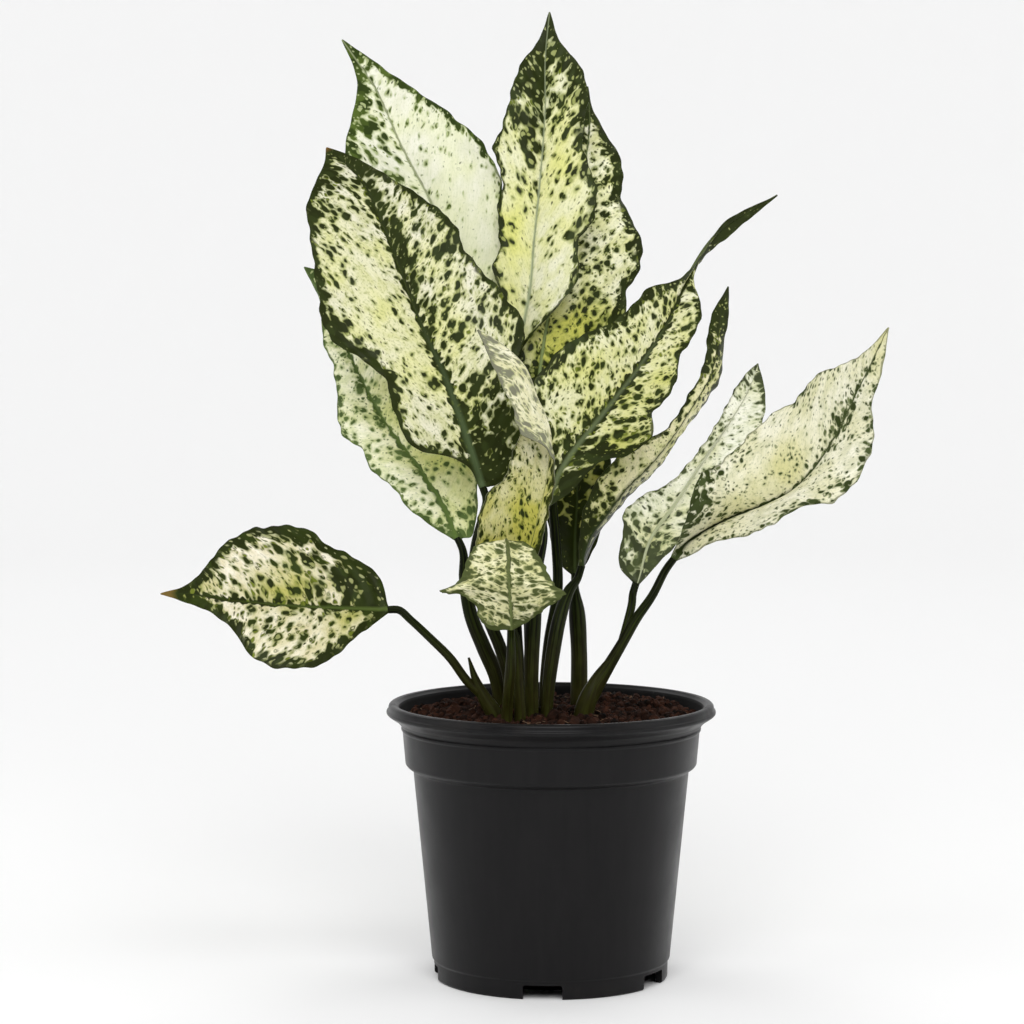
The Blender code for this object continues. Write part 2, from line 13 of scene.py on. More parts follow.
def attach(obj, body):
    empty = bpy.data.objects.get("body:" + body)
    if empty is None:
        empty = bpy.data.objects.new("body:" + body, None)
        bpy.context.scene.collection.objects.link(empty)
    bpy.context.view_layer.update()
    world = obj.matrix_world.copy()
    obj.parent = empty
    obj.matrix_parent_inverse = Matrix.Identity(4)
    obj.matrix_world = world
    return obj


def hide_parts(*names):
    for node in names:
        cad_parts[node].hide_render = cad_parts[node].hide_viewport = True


mm = 0.001

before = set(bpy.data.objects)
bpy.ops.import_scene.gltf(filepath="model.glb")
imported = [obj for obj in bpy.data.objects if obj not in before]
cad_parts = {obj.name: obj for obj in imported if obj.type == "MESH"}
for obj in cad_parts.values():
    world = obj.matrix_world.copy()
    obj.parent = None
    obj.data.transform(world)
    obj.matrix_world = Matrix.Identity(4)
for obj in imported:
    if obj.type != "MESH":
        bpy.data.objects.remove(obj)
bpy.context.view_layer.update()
print("frame loaded:", len(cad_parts), "nodes")


def linear(code):
    # sRGB hex to the linear colour that shaders take
    parts = [int(code[i:i + 2], 16) / 255 for i in (1, 3, 5)]
    return tuple(p / 12.92 if p <= 0.04045 else ((p + 0.055) / 1.055) ** 2.4 for p in parts) + (1.0,)


def fillSockets(node, values):
    # Sets or links a node's inputs, by name or in the order that it shows them. Text with # is a colour
    shown = [socket for socket in node.inputs if socket.enabled]
    if isinstance(values, dict):
        named = {socket.name: socket for socket in shown}
        shown, values = [named[name] for name in values], values.values()
    for socket, value in zip(shown, values):
        if isinstance(value, bpy.types.NodeSocket):
            node.id_data.links.new(value, socket)
        else:
            socket.default_value = linear(value) if str(value).startswith("#") else value


def addNode(tree, kind, values=(), give=None, **settings):
    # Adds one node with its settings and links, and gives its first output or the one that is named
    node = tree.nodes.new(kind if "Node" in kind else "ShaderNode" + kind)
    for name, value in settings.items():
        setattr(node, name, value)
    fillSockets(node, values)
    return node.outputs[give] if give else next((out for out in node.outputs if out.enabled), None)


def newMaterial(name):
    # A material, what adds nodes to it, and its shader
    skin = bpy.data.materials.new(name)
    skin.use_nodes = True
    return skin, partial(addNode, skin.node_tree), skin.node_tree.nodes["Principled BSDF"]


def place(thing):
    # Puts a new object in the scene
    bpy.context.scene.collection.objects.link(thing)
    return thing


def meshObject(name, points, faces, skin, smooth=True):
    # A mesh object from points in millimetres, its faces turned outward
    mesh = bpy.data.meshes.new(name)
    mesh.from_pydata((np.asarray(points, float) * mm).tolist(), [], faces)
    built = bmesh.new()
    built.from_mesh(mesh)
    bmesh.ops.recalc_face_normals(built, faces=built.faces)
    built.to_mesh(mesh)
    built.free()
    mesh.polygons.foreach_set("use_smooth", [smooth] * len(mesh.polygons))
    if skin:
        mesh.materials.append(skin)
    return place(bpy.data.objects.new(name, mesh))


def bakeMesh(thing):
    # Turns a piece with its modifiers into a plain mesh
    graph = bpy.context.evaluated_depsgraph_get()
    result = bpy.data.meshes.new_from_object(thing.evaluated_get(graph))
    thing.modifiers.clear()
    thing.data = result


def ringPoints(profile, spokes):
    # Rings of points round the upright axis, one for each (radius, height)
    turn = 2 * math.pi * np.arange(spokes) / spokes
    rings = [np.stack([r * np.cos(turn), r * np.sin(turn), np.full(spokes, z)], 1) for r, z in profile]
    return np.concatenate(rings)


def ringFaces(rings, spokes, first=0):
    # Faces between neighbouring rings, whose points start at first
    faces = []
    for a in range(first, first + (rings - 1) * spokes, spokes):
        faces += [(a + k, a + k + spokes, a + (k + 1) % spokes + spokes, a + (k + 1) % spokes)
                  for k in range(spokes)]
    return faces


def fanFaces(ring, spokes, middle):
    # Faces from one ring to the point in its middle
    return [(middle, ring + k, ring + (k + 1) % spokes) for k in range(spokes)]


def unit(vectors):
    return vectors / np.linalg.norm(vectors, axis=-1, keepdims=True)


def smoothStep(x):
    x = np.clip(x, 0, 1)
    return x * x * (3 - 2 * x)


def curveThrough(places, shares):
    # Points of a smooth curve through the places, at shares of its length
    places = np.array(places, float)
    steps = np.linalg.norm(np.diff(places[:, :3], axis=0), axis=1)
    knots = np.concatenate([[0], np.cumsum(steps)])
    slopes = np.gradient(places, knots, axis=0)
    at = np.clip(np.array(shares, float), 0, 1) * knots[-1]
    span = np.clip(np.searchsorted(knots, at, side="right") - 1, 0, len(knots) - 2)
    width = steps[span][:, None]
    t = (at - knots[span])[:, None] / width
    return (
        (2 * t**3 - 3 * t**2 + 1) * places[span]
        + (t**3 - 2 * t**2 + t) * width * slopes[span]
        + (3 * t**2 - 2 * t**3) * places[span + 1]
        + (t**3 - t**2) * width * slopes[span + 1]
    )


# Studio, in metres: seamless pale sweep that darkens behind the camera, one big soft front light, weak
# light all round. A panel has its place, size and power, and the point that it faces
studio = {
    "sweepFlats": (0.6, 1.4, 2.2),
    "sweepRadius": 3.2,
    "sweepHeight": 1.35,
    "sweepSpokes": 96,
    "bendSteps": 12,
    "sweepColour": "#F6F6F6",
    "darkEnd": "#5E5E60",
    "darkFrom": 1.7,
    "darkTo": 2.7,
    "worldStrength": 0.352,
    "panels": {
        "left_panel": ((-1.5, -0.5, 0.75), 1.2, 5.8, (0, 0, 0.2)),
        "right_panel": ((1.5, -0.4, 0.75), 1.2, 5.8, (0, 0, 0.2)),
        "front_panel": ((0.0, -1.5, 1.5), 1.4, 26.3, (0, 0, 0.2)),
        "backdrop_left": ((-1.2, 1.6, 2.2), 1.6, 17.5, (0, 1.5, 0)),
        "backdrop_right": ((1.2, 1.6, 2.2), 1.6, 17.5, (0, 1.5, 0)),
    },
    "cameraPlace": (0, -1.5, 0.33),
    "cameraAim": (-0.018, 0, 0.215),
    "lens": 115.3,
    "sensor": 36,
}


def pointAt(thing, spot, aim):
    # Puts a light or the camera at a spot and turns it towards a point
    x, y, z = np.array(aim) - np.array(spot)
    thing.location = spot
    thing.rotation_euler = (math.atan2(math.hypot(x, y), -z), 0, math.atan2(-x, y))


def paperSweep():
    # Matt seamless paper, greyer towards the dark end of the room, so that glossy skins face little light
    paper, add, shader = newMaterial("matt_paper_sweep")
    coords = add("TexCoord", give="Object")
    depth = add("SeparateXYZ", (coords,), give="Y")
    share = add("MapRange", (depth, -studio["darkFrom"], -studio["darkTo"], 0, 1),
                    interpolation_type="SMOOTHSTEP")
    colour = add("Mix", (share, studio["sweepColour"], studio["darkEnd"]), data_type="RGBA")
    fillSockets(shader, {"Base Color": colour, "Roughness": 0.9, "Specular IOR Level": 0.05})
    return paper


def makeStudio():
    flat, spokes, steps = studio["sweepFlats"][-1], studio["sweepSpokes"], studio["bendSteps"]
    bend = studio["sweepRadius"] - flat
    profile = [(r, 0) for r in studio["sweepFlats"]]
    for step in range(1, steps + 1):
        angle = math.pi / 2 * step / steps
        profile.append((flat + bend * math.sin(angle), bend * (1 - math.cos(angle))))
    profile.append((studio["sweepRadius"], studio["sweepHeight"]))
    points = np.concatenate([[(0, 0, 0)], ringPoints(profile, spokes)]) / mm
    faces = fanFaces(1, spokes, 0) + ringFaces(len(profile), spokes, 1)
    sweep = meshObject("studio_sweep", points, faces, paperSweep())

    world = bpy.data.worlds.new("even_studio_light")
    world.use_nodes = True
    bpy.context.scene.world = world
    glow = {"Color": (1, 1, 1, 1), "Strength": studio["worldStrength"]}
    fillSockets(world.node_tree.nodes["Background"], glow)
    for name, (spot, size, power, aim) in studio["panels"].items():
        light = bpy.data.lights.new(name, "AREA")
        light.size = size
        light.energy = power
        pointAt(place(bpy.data.objects.new(name, light)), spot, aim)


def makeCamera():
    # The photograph's own angle and distance
    lens = bpy.data.cameras.new("camera")
    lens.lens = studio["lens"]
    lens.sensor_width = studio["sensor"]
    camera = place(bpy.data.objects.new("camera", lens))
    pointAt(camera, studio["cameraPlace"], studio["cameraAim"])
    bpy.context.scene.camera = camera


makeStudio()
makeCamera()
bpy.context.scene.view_settings.view_transform = "Standard"
print("studio and camera ready")


# Pot: one moulding with a rolled rim, a stepped collar and a notched foot ring. Dust and the painted shade
# on the inner wall fade in from the first height or radius to the second
potSizes = {
    "height": 127.0,
    "rimRadius": 75.3,
    "mouthRadius": 70.8,
    "collarTopRadius": 68.6,
    "collarBaseRadius": 67.0,
    "collarBaseHeight": 98.0,
    "waistRadius": 63.3,
    "footRadius": 54.0,
    "footHeight": 8.5,
    "wall": 1.9,
    "plinthRadius": 33.0,
    "plinthRecess": 5.2,
    "notchWidth": 17.8,
    "notchHeight": 6.6,
    "notchCorner": 1.2,
    "notchBearings": (-94, -29, 43, 115, -173),
    "segments": 240,
    "rounding": 0.5,
    "crispAngle": 38,
    "colour": "#0E0E0F",
    "worn": "#171617",
    "dust": "#4A423A",
    # Painted shade: the near-black colour of the inner wall above the soil
    "paintedShadeInside": "#060505",
    "dustyRim": (112, 127),
    "dustyFoot": (14, 0),
    # Where the painted shade on the inner wall starts: within this radius and above this height
    "shadeInsideWithin": (70.4, 69.6),
    "shadeInsideAbove": (117.5, 119),
}


def blackPlastic():
    # Injection moulded polypropylene: satin black, orange peel about 0.7 mm across, streaks 4 mm wide, and
    # thin dust in 22 mm clouds at rim and foot. Inside, above the soil, the wall is painted darker as shade
    # and is duller
    skin, add, shader = newMaterial("moulded_polypropylene_black")
    coords = add("TexCoord", give="Object")
    height = add("SeparateXYZ", (coords,), give="Z")
    level = add("VectorMath", (coords, (1, 1, 0)), operation="MULTIPLY")
    radius = add("VectorMath", (level,), operation="LENGTH")
    clouds = add("TexNoise", {"Vector": coords, "Scale": 45, "Detail": 4, "Roughness": 0.6})
    flow = add("Mapping", {"Vector": coords, "Scale": (1, 1, 0.08)})
    streaks = add("TexNoise", {"Vector": flow, "Scale": 260, "Detail": 3})
    grain = add("TexNoise", {"Vector": coords, "Scale": 1400, "Detail": 2})
    masks = {}
    for label, measure, fade in (("dustyRim", height, "SMOOTHSTEP"), ("dustyFoot", height, "SMOOTHSTEP"),
                                 ("shadeInsideWithin", radius, "LINEAR"), ("shadeInsideAbove", height, "LINEAR")):
        start, end = potSizes[label]
        masks[label] = add("MapRange", (measure, start * mm, end * mm, 0, 1), interpolation_type=fade)
    handled = add("Math", (masks["dustyRim"], masks["dustyFoot"]), operation="ADD")
    # Painted shade on the inner wall above the soil, where the wall is also rougher
    paintedShadeInside = add("Math", (masks["shadeInsideWithin"], masks["shadeInsideAbove"]), operation="MULTIPLY")
    dusty = add("MapRange", (clouds, 0.5, 0.75, 0, 0.12))
    dust = add("Math", (dusty, handled), operation="MULTIPLY")
    colour = potSizes["colour"]
    for share, above in ((streaks, "worn"), (dust, "dust"), (paintedShadeInside, "paintedShadeInside")):
        colour = add("Mix", (share, colour, potSizes[above]), data_type="RGBA")
    satin = add("MapRange", (clouds, 0.3, 0.7, 0.30, 0.42))
    scuffed = add("Math", (satin, dust), operation="ADD")
    rough = add("Math", (paintedShadeInside, 0.45, scuffed), operation="MULTIPLY_ADD")
    peel = add("Bump", {"Strength": 0.12, "Distance": 0.0002, "Height": grain})
    soft = add("Bump", {"Strength": 0.06, "Distance": 0.001, "Height": clouds, "Normal": peel})
    fillSockets(shader, {"Base Color": colour, "Roughness": rough, "Specular IOR Level": 0.15,
                         "Normal": soft})
    return skin


def rounded(profile, radius, steps=3):
    # Rounds each corner of a closed (radius, height) profile with a short arc
    corners = np.array(profile, float)
    soft = []
    for i, here in enumerate(corners):
        back, on = corners[i - 1] - here, corners[(i + 1) % len(corners)] - here
        reach = min(radius, np.linalg.norm(back) * 0.4, np.linalg.norm(on) * 0.4)
        start, end = here + unit(back) * reach, here + unit(on) * reach
        for t in np.linspace(0, 1, steps):
            soft.append(tuple((1 - t) ** 2 * start + 2 * t * (1 - t) * here + t**2 * end))
    return soft


def cutNotch(pot, bearing):
    # Cuts one round-topped drain notch through the foot ring
    p = potSizes
    angle = math.radians(bearing)
    out = np.array([math.cos(angle), math.sin(angle), 0])
    side = np.array([-math.sin(angle), math.cos(angle), 0])
    half, corner = p["notchWidth"] / 2, p["notchCorner"]
    outline = [(-half, -2)]
    outline += [(-half + corner * (1 - math.cos(a)), p["notchHeight"] - corner * (1 - math.sin(a)))
                for a in np.linspace(0, math.pi / 2, 5)]
    outline += [(-x, z) for x, z in reversed(outline)]
    sides = len(outline)
    points = [out * reach + side * x + np.array([0, 0, z])
              for reach in (p["footRadius"] - 7, p["footRadius"] + 4) for x, z in outline]
    faces = [tuple(range(sides)), tuple(range(sides, 2 * sides))] + ringFaces(2, sides)
    cutter = meshObject("notch_cutter", points, faces, None, False)
    cut = pot.modifiers.new("notch", "BOOLEAN")
    cut.operation = "DIFFERENCE"
    cut.solver = "EXACT"
    cut.object = cutter
    bakeMesh(pot)
    bpy.data.objects.remove(cutter, do_unlink=True)


def makePot(skin):
    p = potSizes
    rim, collar, foot, plinth = p["rimRadius"], p["collarBaseRadius"], p["footRadius"], p["plinthRadius"]
    step, waist, wall, top = p["collarBaseHeight"], p["waistRadius"], p["wall"], p["collarTopRadius"]
    high, low, recess = p["height"], p["footHeight"], p["plinthRecess"]
    outside = [
        (71.6, high), (73.8, high + 0.1), (rim - 0.5, 126.2), (rim - 0.3, 124.3), (rim + 0.5, 123.7),
        (rim + 0.5, 122.5), (rim - 0.5, 121.7), (71.4, 119.5), (70.2, 118.3), (top - 0.1, 116.2),
        (top + 0.5, 115.7), (top + 0.4, 114.9), (top - 0.2, 114.2), (collar + 0.1, step + 1.2),
        (collar - 0.9, step), (waist + 0.2, step - 1.6), (waist, step - 4), (foot + 1.0, low + 0.6),
        (foot + 0.1, low - 0.5), (foot, 0.8), (foot - 0.8, 0), (foot - 3.2, 0), (foot - 3.6, recess),
        (plinth + 3.4, recess), (plinth, 0),
    ]
    inside = [
        (plinth - 1.2, wall), (plinth + 2.2, recess + wall), (foot - 1.4, recess + wall),
        (foot - 0.6, low + 1.6), (waist - wall, step - 3), (waist - wall + 0.6, step + 0.4),
        (collar - wall, step + 2.4), (top - wall, 116.5), (68.8, 121.5), (70.2, 125.8),
    ]
    # From the middle of the floor up the inside, over the rim and back to the middle underneath
    profile = rounded(inside, p["rounding"])[1:] + rounded(outside, p["rounding"])[:-1]
    profile.append((plinth - 0.6, 0.02))
    rings, spokes = len(profile), p["segments"]
    middles = [(0, 0, profile[0][1]), (0, 0, profile[-1][1])]
    points = np.concatenate([ringPoints(profile, spokes), middles])
    faces = ringFaces(rings, spokes) + fanFaces(0, spokes, rings * spokes)
    faces += fanFaces((rings - 1) * spokes, spokes, rings * spokes + 1)
    pot = meshObject("nursery_pot", points, faces, skin)
    for bearing in p["notchBearings"]:
        cutNotch(pot, bearing)
    pot.data.materials.clear()
    pot.data.materials.append(skin)
    # Curved walls shade smoothly and the moulding's steps stay crisp
    pot.data.set_sharp_from_angle(angle=math.radians(p["crispAngle"]))
    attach(pot, "root")
    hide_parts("pot")


makePot(blackPlastic())
print("pot ready")


# Colours and marks of the leaves, sizes in millimetres. Spots and specks say how full of marks a leaf is:
# at -0.3 it has none, at 0 a quarter is covered and at 0.5 nearly all. Border, tip and foot add to that
# over a reach. A patch is (share of length, share of half width, reach along, reach across, strength),
# with left negative. Slant is how steeply the side veins climb on the left and the right half. Turn twists
# a blade, puff swells its halves and ripple waves them
everyLeaf = {
    "turn": 0,
    "puff": 0.08,
    "ripple": 0.6,
    "cream": "#F2F0DA",
    "veiled": "#CDCF90",
    "flush": "#D8D880",
    "dark": "#222904",
    "deep": "#38441A",
    "mid": "#76822C",
    "under": "#8C9868",
    "veil": 0.3,
    "rib": "#48562C",
    "ribLine": 0.9,
    "ribEnds": 0.7,
    "ribBand": (1.6, 0.7),
    "brown": "#6E4A20",
    "brownFrom": 2.0,
    "spots": -0.1,
    "spotSize": 3.6,
    "specks": -0.2,
    "speckSize": 1.7,
    "stretch": 1.3,
    "slant": (0.84, 0.84),
    "margin": 0.8,
    "edgeTone": 0.9,
    "border": (0.45, 6.0),
    "tip": (0.35, 0.8),
    "foot": (0.35, 0.15),
    "haze": 0.7,
    "hazeReach": 0.24,
    "pricks": 0.3,
    "softSpecks": 0.9,
    "pepper": 0.2,
    "streak": 0.12,
    "darkPatches": (),
    "flushPatches": (),
    "seed": 0.0,
}

# Each leaf: its spine and its two edges from foot to tip, and what sets it apart from the others. Lean is
# how far its tip goes back from the viewer
leaves = {
    "low_left": {
        "spine": [(-74, -20, 172), (-95, -24, 173), (-112, -27, 174), (-134, -30, 176), (-150, -33, 178),
            (-164, -36, 181), (-175, -38, 181)],
        "left": [(-89, -36, 160), (-101, -44, 151), (-116, -48, 148), (-132, -47, 153), (-142, -42, 164),
            (-152, -38, 172), (-164, -37, 177)],
        "right": [(-78, -14, 186), (-90, -10, 195), (-102, -8, 200), (-113, -5, 208), (-126, -5, 209),
            (-138, -8, 207), (-149, -14, 201), (-157, -24, 191), (-165, -34, 184)],
        "lean": -24, "puff": 0.1, "ripple": 0.8, "cream": "#F5EEDA", "veiled": "#CFC492",
        "flush": "#B8B45C", "spotSize": 3.7, "specks": -0.12, "speckSize": 1.9, "stretch": 1.8,
        "slant": (0.6, 0.6), "ribLine": 1.5, "margin": 1.7, "border": (0.8, 6.5), "deep": "#3C4C16",
        "brownFrom": 0.93, "brown": "#7A6230", "streak": 0.08, "pricks": 0.45, "rib": "#55652E",
        "ribBand": (1.8, 1.3), "seed": 1.3,
        "darkPatches": ((0.08, 0.5, 0.2, 0.7, 0.5), (0.5, 1.0, 0.6, 0.25, 0.3), (0.5, 0.5, 0.5, 0.5, 0.1),
            (0.3, -1.0, 0.25, 0.3, -0.06), (0.6, -0.5, 0.3, 0.4, 0.08)),
        "flushPatches": ((0.95, 0.0, 0.12, 1.0, 1.0), (0.45, 0.2, 0.15, 0.25, 0.6),
            (0.2, -0.4, 0.15, 0.4, 0.6)),
    },
    "big": {
        "spine": [(-31, -14, 227), (-36, -14, 243), (-47, -10, 274), (-61, -4, 305), (-76, 6, 343),
            (-90, 16, 370), (-104, 22, 382)],
        "left": [(-37, -15, 236), (-46, -15, 241), (-62, -15, 245), (-70, -14, 258), (-75, -12, 275),
            (-102, -8, 297), (-107, -2, 319), (-110, 3, 339), (-112, 9, 356), (-108, 14, 367),
            (-104.5, 19, 376)],
        "right": [(-23, -16, 229), (-17, -17, 237), (-13, -18, 250), (-15, -18, 266), (-15, -15, 285),
            (-12, -11, 300), (-22, -8, 315), (-40, -2, 336), (-44, 1, 346), (-55, 5, 356), (-74, 11, 368),
            (-90, 17, 377), (-97, 20, 380)],
        "lean": 22, "turn": 4, "ripple": 0.9, "cream": "#E2DFCA", "veiled": "#BEC088", "spots": -0.09,
        "margin": 1.6, "border": (0.6, 4.0), "brownFrom": 0.982, "brown": "#A0703C", "slant": (2.2, 0.84),
        "stretch": 2.0, "spotSize": 3.0, "speckSize": 1.6, "ribBand": (3.0, 0.9), "rib": "#4E5E3C",
        "ribLine": 2.3, "ribEnds": 0.5, "pepper": 0.35, "foot": (0.2, 0.2), "tip": (0.2, 0.85),
        "seed": 2.1,
        "darkPatches": ((0.08, 0.5, 0.2, 0.6, 0.5), (0.42, -1.0, 0.15, 0.16, 0.8),
            (0.4, -0.35, 0.3, 0.25, -0.1), (0.62, 0.14, 0.2, 0.14, 0.35), (0.85, 0.3, 0.15, 0.4, 0.2),
            (0.55, 0.85, 0.35, 0.3, 0.12), (0.9, -0.6, 0.1, 0.6, 0.35)),
        "flushPatches": ((0.5, -0.45, 0.22, 0.4, 0.35), (0.3, 0.1, 0.2, 0.5, 0.3)),
    },
    "low_behind": {
        "spine": [(-43, 6, 202), (-50, 10, 217), (-59, 14, 231), (-79, 22, 258), (-92, 30, 282),
            (-101, 36, 302), (-116, 42, 327)],
        "left": [(-57, 9, 209), (-66, 11, 216), (-75, 15, 227), (-83, 18, 232), (-87, 21, 241),
            (-98, 26, 251), (-100, 28, 263), (-102, 31, 281), (-106, 34, 291), (-109, 40, 312)],
        "right": [(-37, 4, 203), (-35, 5, 209), (-34, 6, 220), (-35, 9, 234), (-41, 14, 250),
            (-59, 23, 279), (-80, 31, 303), (-101, 39, 323)],
        "lean": 34, "turn": -4, "ripple": 0.9, "cream": "#FFFDE4", "veiled": "#D2D99C",
        "flush": "#CDD07C", "mid": "#8A9C52", "dark": "#445628", "deep": "#6E8448", "spots": -0.22,
        "specks": -0.26, "margin": 0.7, "border": (0.35, 6.0), "haze": 0.75, "hazeReach": 0.3,
        "rib": "#5A7032", "ribLine": 1.7, "ribBand": (1.4, 0.8), "seed": 3.4,
        "darkPatches": ((0.5, -0.1, 0.3, 0.2, 0.25),),
        "flushPatches": ((0.3, 0.3, 0.3, 0.6, 0.4), (0.2, 0.9, 0.3, 0.6, 0.6)),
    },
    "high_left": {
        "spine": [(-26, 15, 293), (-38, 25, 321), (-53, 35, 351), (-72, 46, 387), (-82, 53, 409),
            (-94, 58, 427), (-99, 60, 434)],
        "left": [(-38, 18, 300), (-54, 26, 316), (-70, 36, 340), (-85, 43, 361), (-97, 48, 381),
            (-93, 53, 400), (-92, 57, 416)],
        "right": [(-23, 19, 309), (-22, 27, 335), (-22, 34, 358), (-29, 40, 380), (-46, 46, 397),
            (-58, 49, 406), (-73, 54, 416), (-90, 58, 428)],
        "lean": 34, "turn": 4, "cream": "#ECEBDA", "veiled": "#DADCBE", "flush": "#E4E8B4",
        "pepper": 0.12, "spots": -0.21, "specks": -0.26, "mid": "#8A9C48", "dark": "#2C3A0E",
        "deep": "#6A8034", "border": (0.65, 5.5), "ribBand": (0.5, 0.5), "slant": (2.8, 1.6),
        "stretch": 2.0, "pricks": 0.5, "ribLine": 1.3, "tip": (0.4, 0.8), "rib": "#A9B088",
        "ribEnds": 2.0, "streak": 0.08, "edgeTone": 0.7, "seed": 4.2,
        "darkPatches": ((0.75, -0.6, 0.5, 0.5, 0.38), (0.78, 1.0, 0.2, 0.3, 0.4),
            (0.3, 0.6, 0.3, 0.5, -0.25)),
        "flushPatches": ((0.2, 0.3, 0.3, 0.8, 0.3),),
    },
    "top": {
        "spine": [(-15, 9, 290), (-10, 17, 316), (-8, 24, 339), (-5, 32, 371), (-3, 40, 400),
            (-3, 46, 424), (-1, 48, 446)],
        "left": [(-19, 11, 301), (-23, 14, 314), (-27, 17, 327), (-24, 19, 336), (-25, 23, 351),
            (-23, 27, 369), (-27, 29, 381), (-22, 34, 395), (-20, 36, 404), (-14, 42, 422), (-6, 46, 433)],
        "right": [(-9, 8, 296), (1, 10, 307), (13, 14, 325), (12, 18, 336), (20, 22, 351), (20, 26, 366),
            (15, 31, 381), (15, 34, 392), (17, 38, 407), (13, 43, 421), (4, 46, 432)],
        "lean": 26, "turn": -3, "ripple": 0.7, "cream": "#E4E3C8", "spots": -0.12, "border": (0.5, 4.5),
        "ribBand": (0.5, 0.3), "slant": (2.4, 2.4), "tip": (0.6, 0.5), "pricks": 0.5, "rib": "#A0AA86",
        "ribLine": 1.2, "ribEnds": 2.0, "foot": (0.0, 0.1), "stretch": 2.0, "seed": 5.9,
        "darkPatches": ((0.22, 0.2, 0.22, 0.9, -0.2), (0.62, -0.2, 0.3, 0.25, 0.3),
            (0.5, 0.95, 0.25, 0.2, 0.2)),
        "flushPatches": ((0.3, -0.6, 0.2, 0.5, 0.8), (0.55, 0.5, 0.2, 0.5, 0.5)),
    },
    "behind_top": {
        "spine": [(-6, 12, 272), (-5, 14, 282), (-1, 20, 306), (5, 29, 328), (11, 39, 351), (16, 49, 377),
            (18, 55, 396), (17, 60, 412)],
        "left": [(-14, 12, 279), (-18, 16, 292), (-14, 23, 310), (-7, 31, 327), (0, 38, 345),
            (5, 46, 365), (10, 54, 387), (15, 58, 403)],
        "right": [(4, 15, 276), (22, 20, 290), (34, 26, 306), (35, 29, 315), (42, 32, 329), (42, 35, 338),
            (33, 42, 358), (33, 48, 376), (24, 54, 392), (19, 57, 402)],
        "lean": 34, "turn": 4, "cream": "#FBF9E2", "flush": "#CFCE66", "spots": 0.01, "specks": -0.1,
        "margin": 2.2, "border": (0.8, 6.0), "slant": (1.8, 1.8), "ribBand": (0.8, 0.4),
        "foot": (0.35, 0.12), "rib": "#8A9A62", "ribLine": 1.0, "ribEnds": 1.2, "pricks": 0.5,
        "seed": 6.6,
        "flushPatches": ((0.12, 0.3, 0.16, 1.2, 0.9), (0.4, 0.4, 0.3, 0.8, 0.15)),
    },
    "right": {
        "spine": [(-2, -22, 220), (3, -21, 233), (21, -14, 258), (33, -9, 273), (44, -4, 288),
            (53, 2, 302), (63, 8, 323), (74, 12, 340), (104, 18, 360)],
        "left": [(-2, -22, 236), (-3, -21, 252), (-9, -19, 273), (-3, -17, 282), (11, -13, 295),
            (21, -9, 299), (32, -6, 305), (44, -2, 317), (59, 5, 322), (68, 10, 332), (78, 13, 346)],
        "right": [(8, -18, 225), (21, -14, 238), (39, -9, 244), (46, -8, 252), (46, -8, 261),
            (54, -7, 269), (60, -5, 289), (67, -2, 300), (68, 1, 310), (65, 7, 322), (69, 10, 330),
            (80, 13, 340)],
        "lean": 34, "turn": 5, "puff": 0.1, "ripple": 0.7, "cream": "#E9E7CD", "flush": "#CBCB6C",
        "slant": (1.1, 1.3), "spots": -0.08, "specks": -0.1, "spotSize": 3.1, "speckSize": 1.6,
        "margin": 1.1, "border": (0.42, 5.0), "ribBand": (2.8, 0.7), "rib": "#66724E", "ribLine": 1.7,
        "stretch": 1.8, "foot": (0.3, 0.3), "tip": (1.0, 0.66), "seed": 7.7,
        "darkPatches": ((0.15, 0.6, 0.2, 0.5, 0.3), (0.55, -0.9, 0.3, 0.25, 0.2)),
        "flushPatches": ((0.3, 0.6, 0.25, 0.7, 0.6), (0.35, -0.5, 0.2, 0.5, 0.35)),
    },
    "slender": {
        "spine": [(14, 10, 189), (18, 10, 202), (25, 10, 212), (34, 11, 224), (46, 12, 236),
            (57, 14, 250), (66, 16, 264), (74, 19, 278), (77, 22, 293), (79, 24, 306), (82, 25, 318)],
        "left": [(13, 8, 201), (15, 5, 216), (21, 4, 229), (32, 5, 241), (44, 8, 248), (53, 11, 253),
            (63, 14, 267), (70, 18, 281), (72, 20, 293), (74, 22, 304)],
        "right": [(16, 15, 191), (21, 19, 202), (29, 22, 212), (38, 25, 223), (51, 27, 235),
            (61, 28, 250), (71, 29, 264), (79, 28, 276), (80, 27, 291), (82, 26, 304)],
        "lean": 44, "puff": 0.06, "cream": "#E8E2B8", "flush": "#BDBB6C", "spots": -0.2, "margin": 1.0,
        "border": (0.5, 3.5), "ribBand": (0.6, 0.4), "tip": (0.9, 0.55), "foot": (0.65, 0.32),
        "rib": "#2E3A18", "ribLine": 2.4, "seed": 8.8,
        "darkPatches": ((0.3, 1.0, 0.4, 0.5, 0.6),),
    },
    "dark": {
        "spine": [(11, 23, 184), (11, 25, 199), (12, 27, 219), (12, 30, 237), (18, 37, 265), (25, 44, 287)],
        "left": [(6, 21, 187), (1, 21, 194), (-1, 21, 206), (-2, 22, 219), (-1, 25, 233), (3, 30, 253),
            (12, 37, 272)],
        "right": [(17, 25, 190), (22, 27, 201), (24, 28, 213), (26, 30, 228), (29, 33, 246),
            (30, 38, 265), (29, 42, 279)],
        "lean": 34, "turn": -4, "ripple": 0.5, "cream": "#C6C16C", "flush": "#C6C16C", "spots": 0.2,
        "border": (0.3, 4.0), "ribBand": (2.6, 0.8), "foot": (0.5, 0.4), "seed": 9.1,
    },
    "far_right": {
        "spine": [(56, -6, 194), (61, -8, 201), (71, -10, 208), (83, -12, 214), (98, -15, 220),
            (109, -17, 226), (117, -19, 234), (127, -21, 249), (139, -24, 274), (151, -26, 300)],
        "left": [(58, -15, 204), (62, -24, 218), (67, -22, 233), (76, -14, 238), (88, -5, 248),
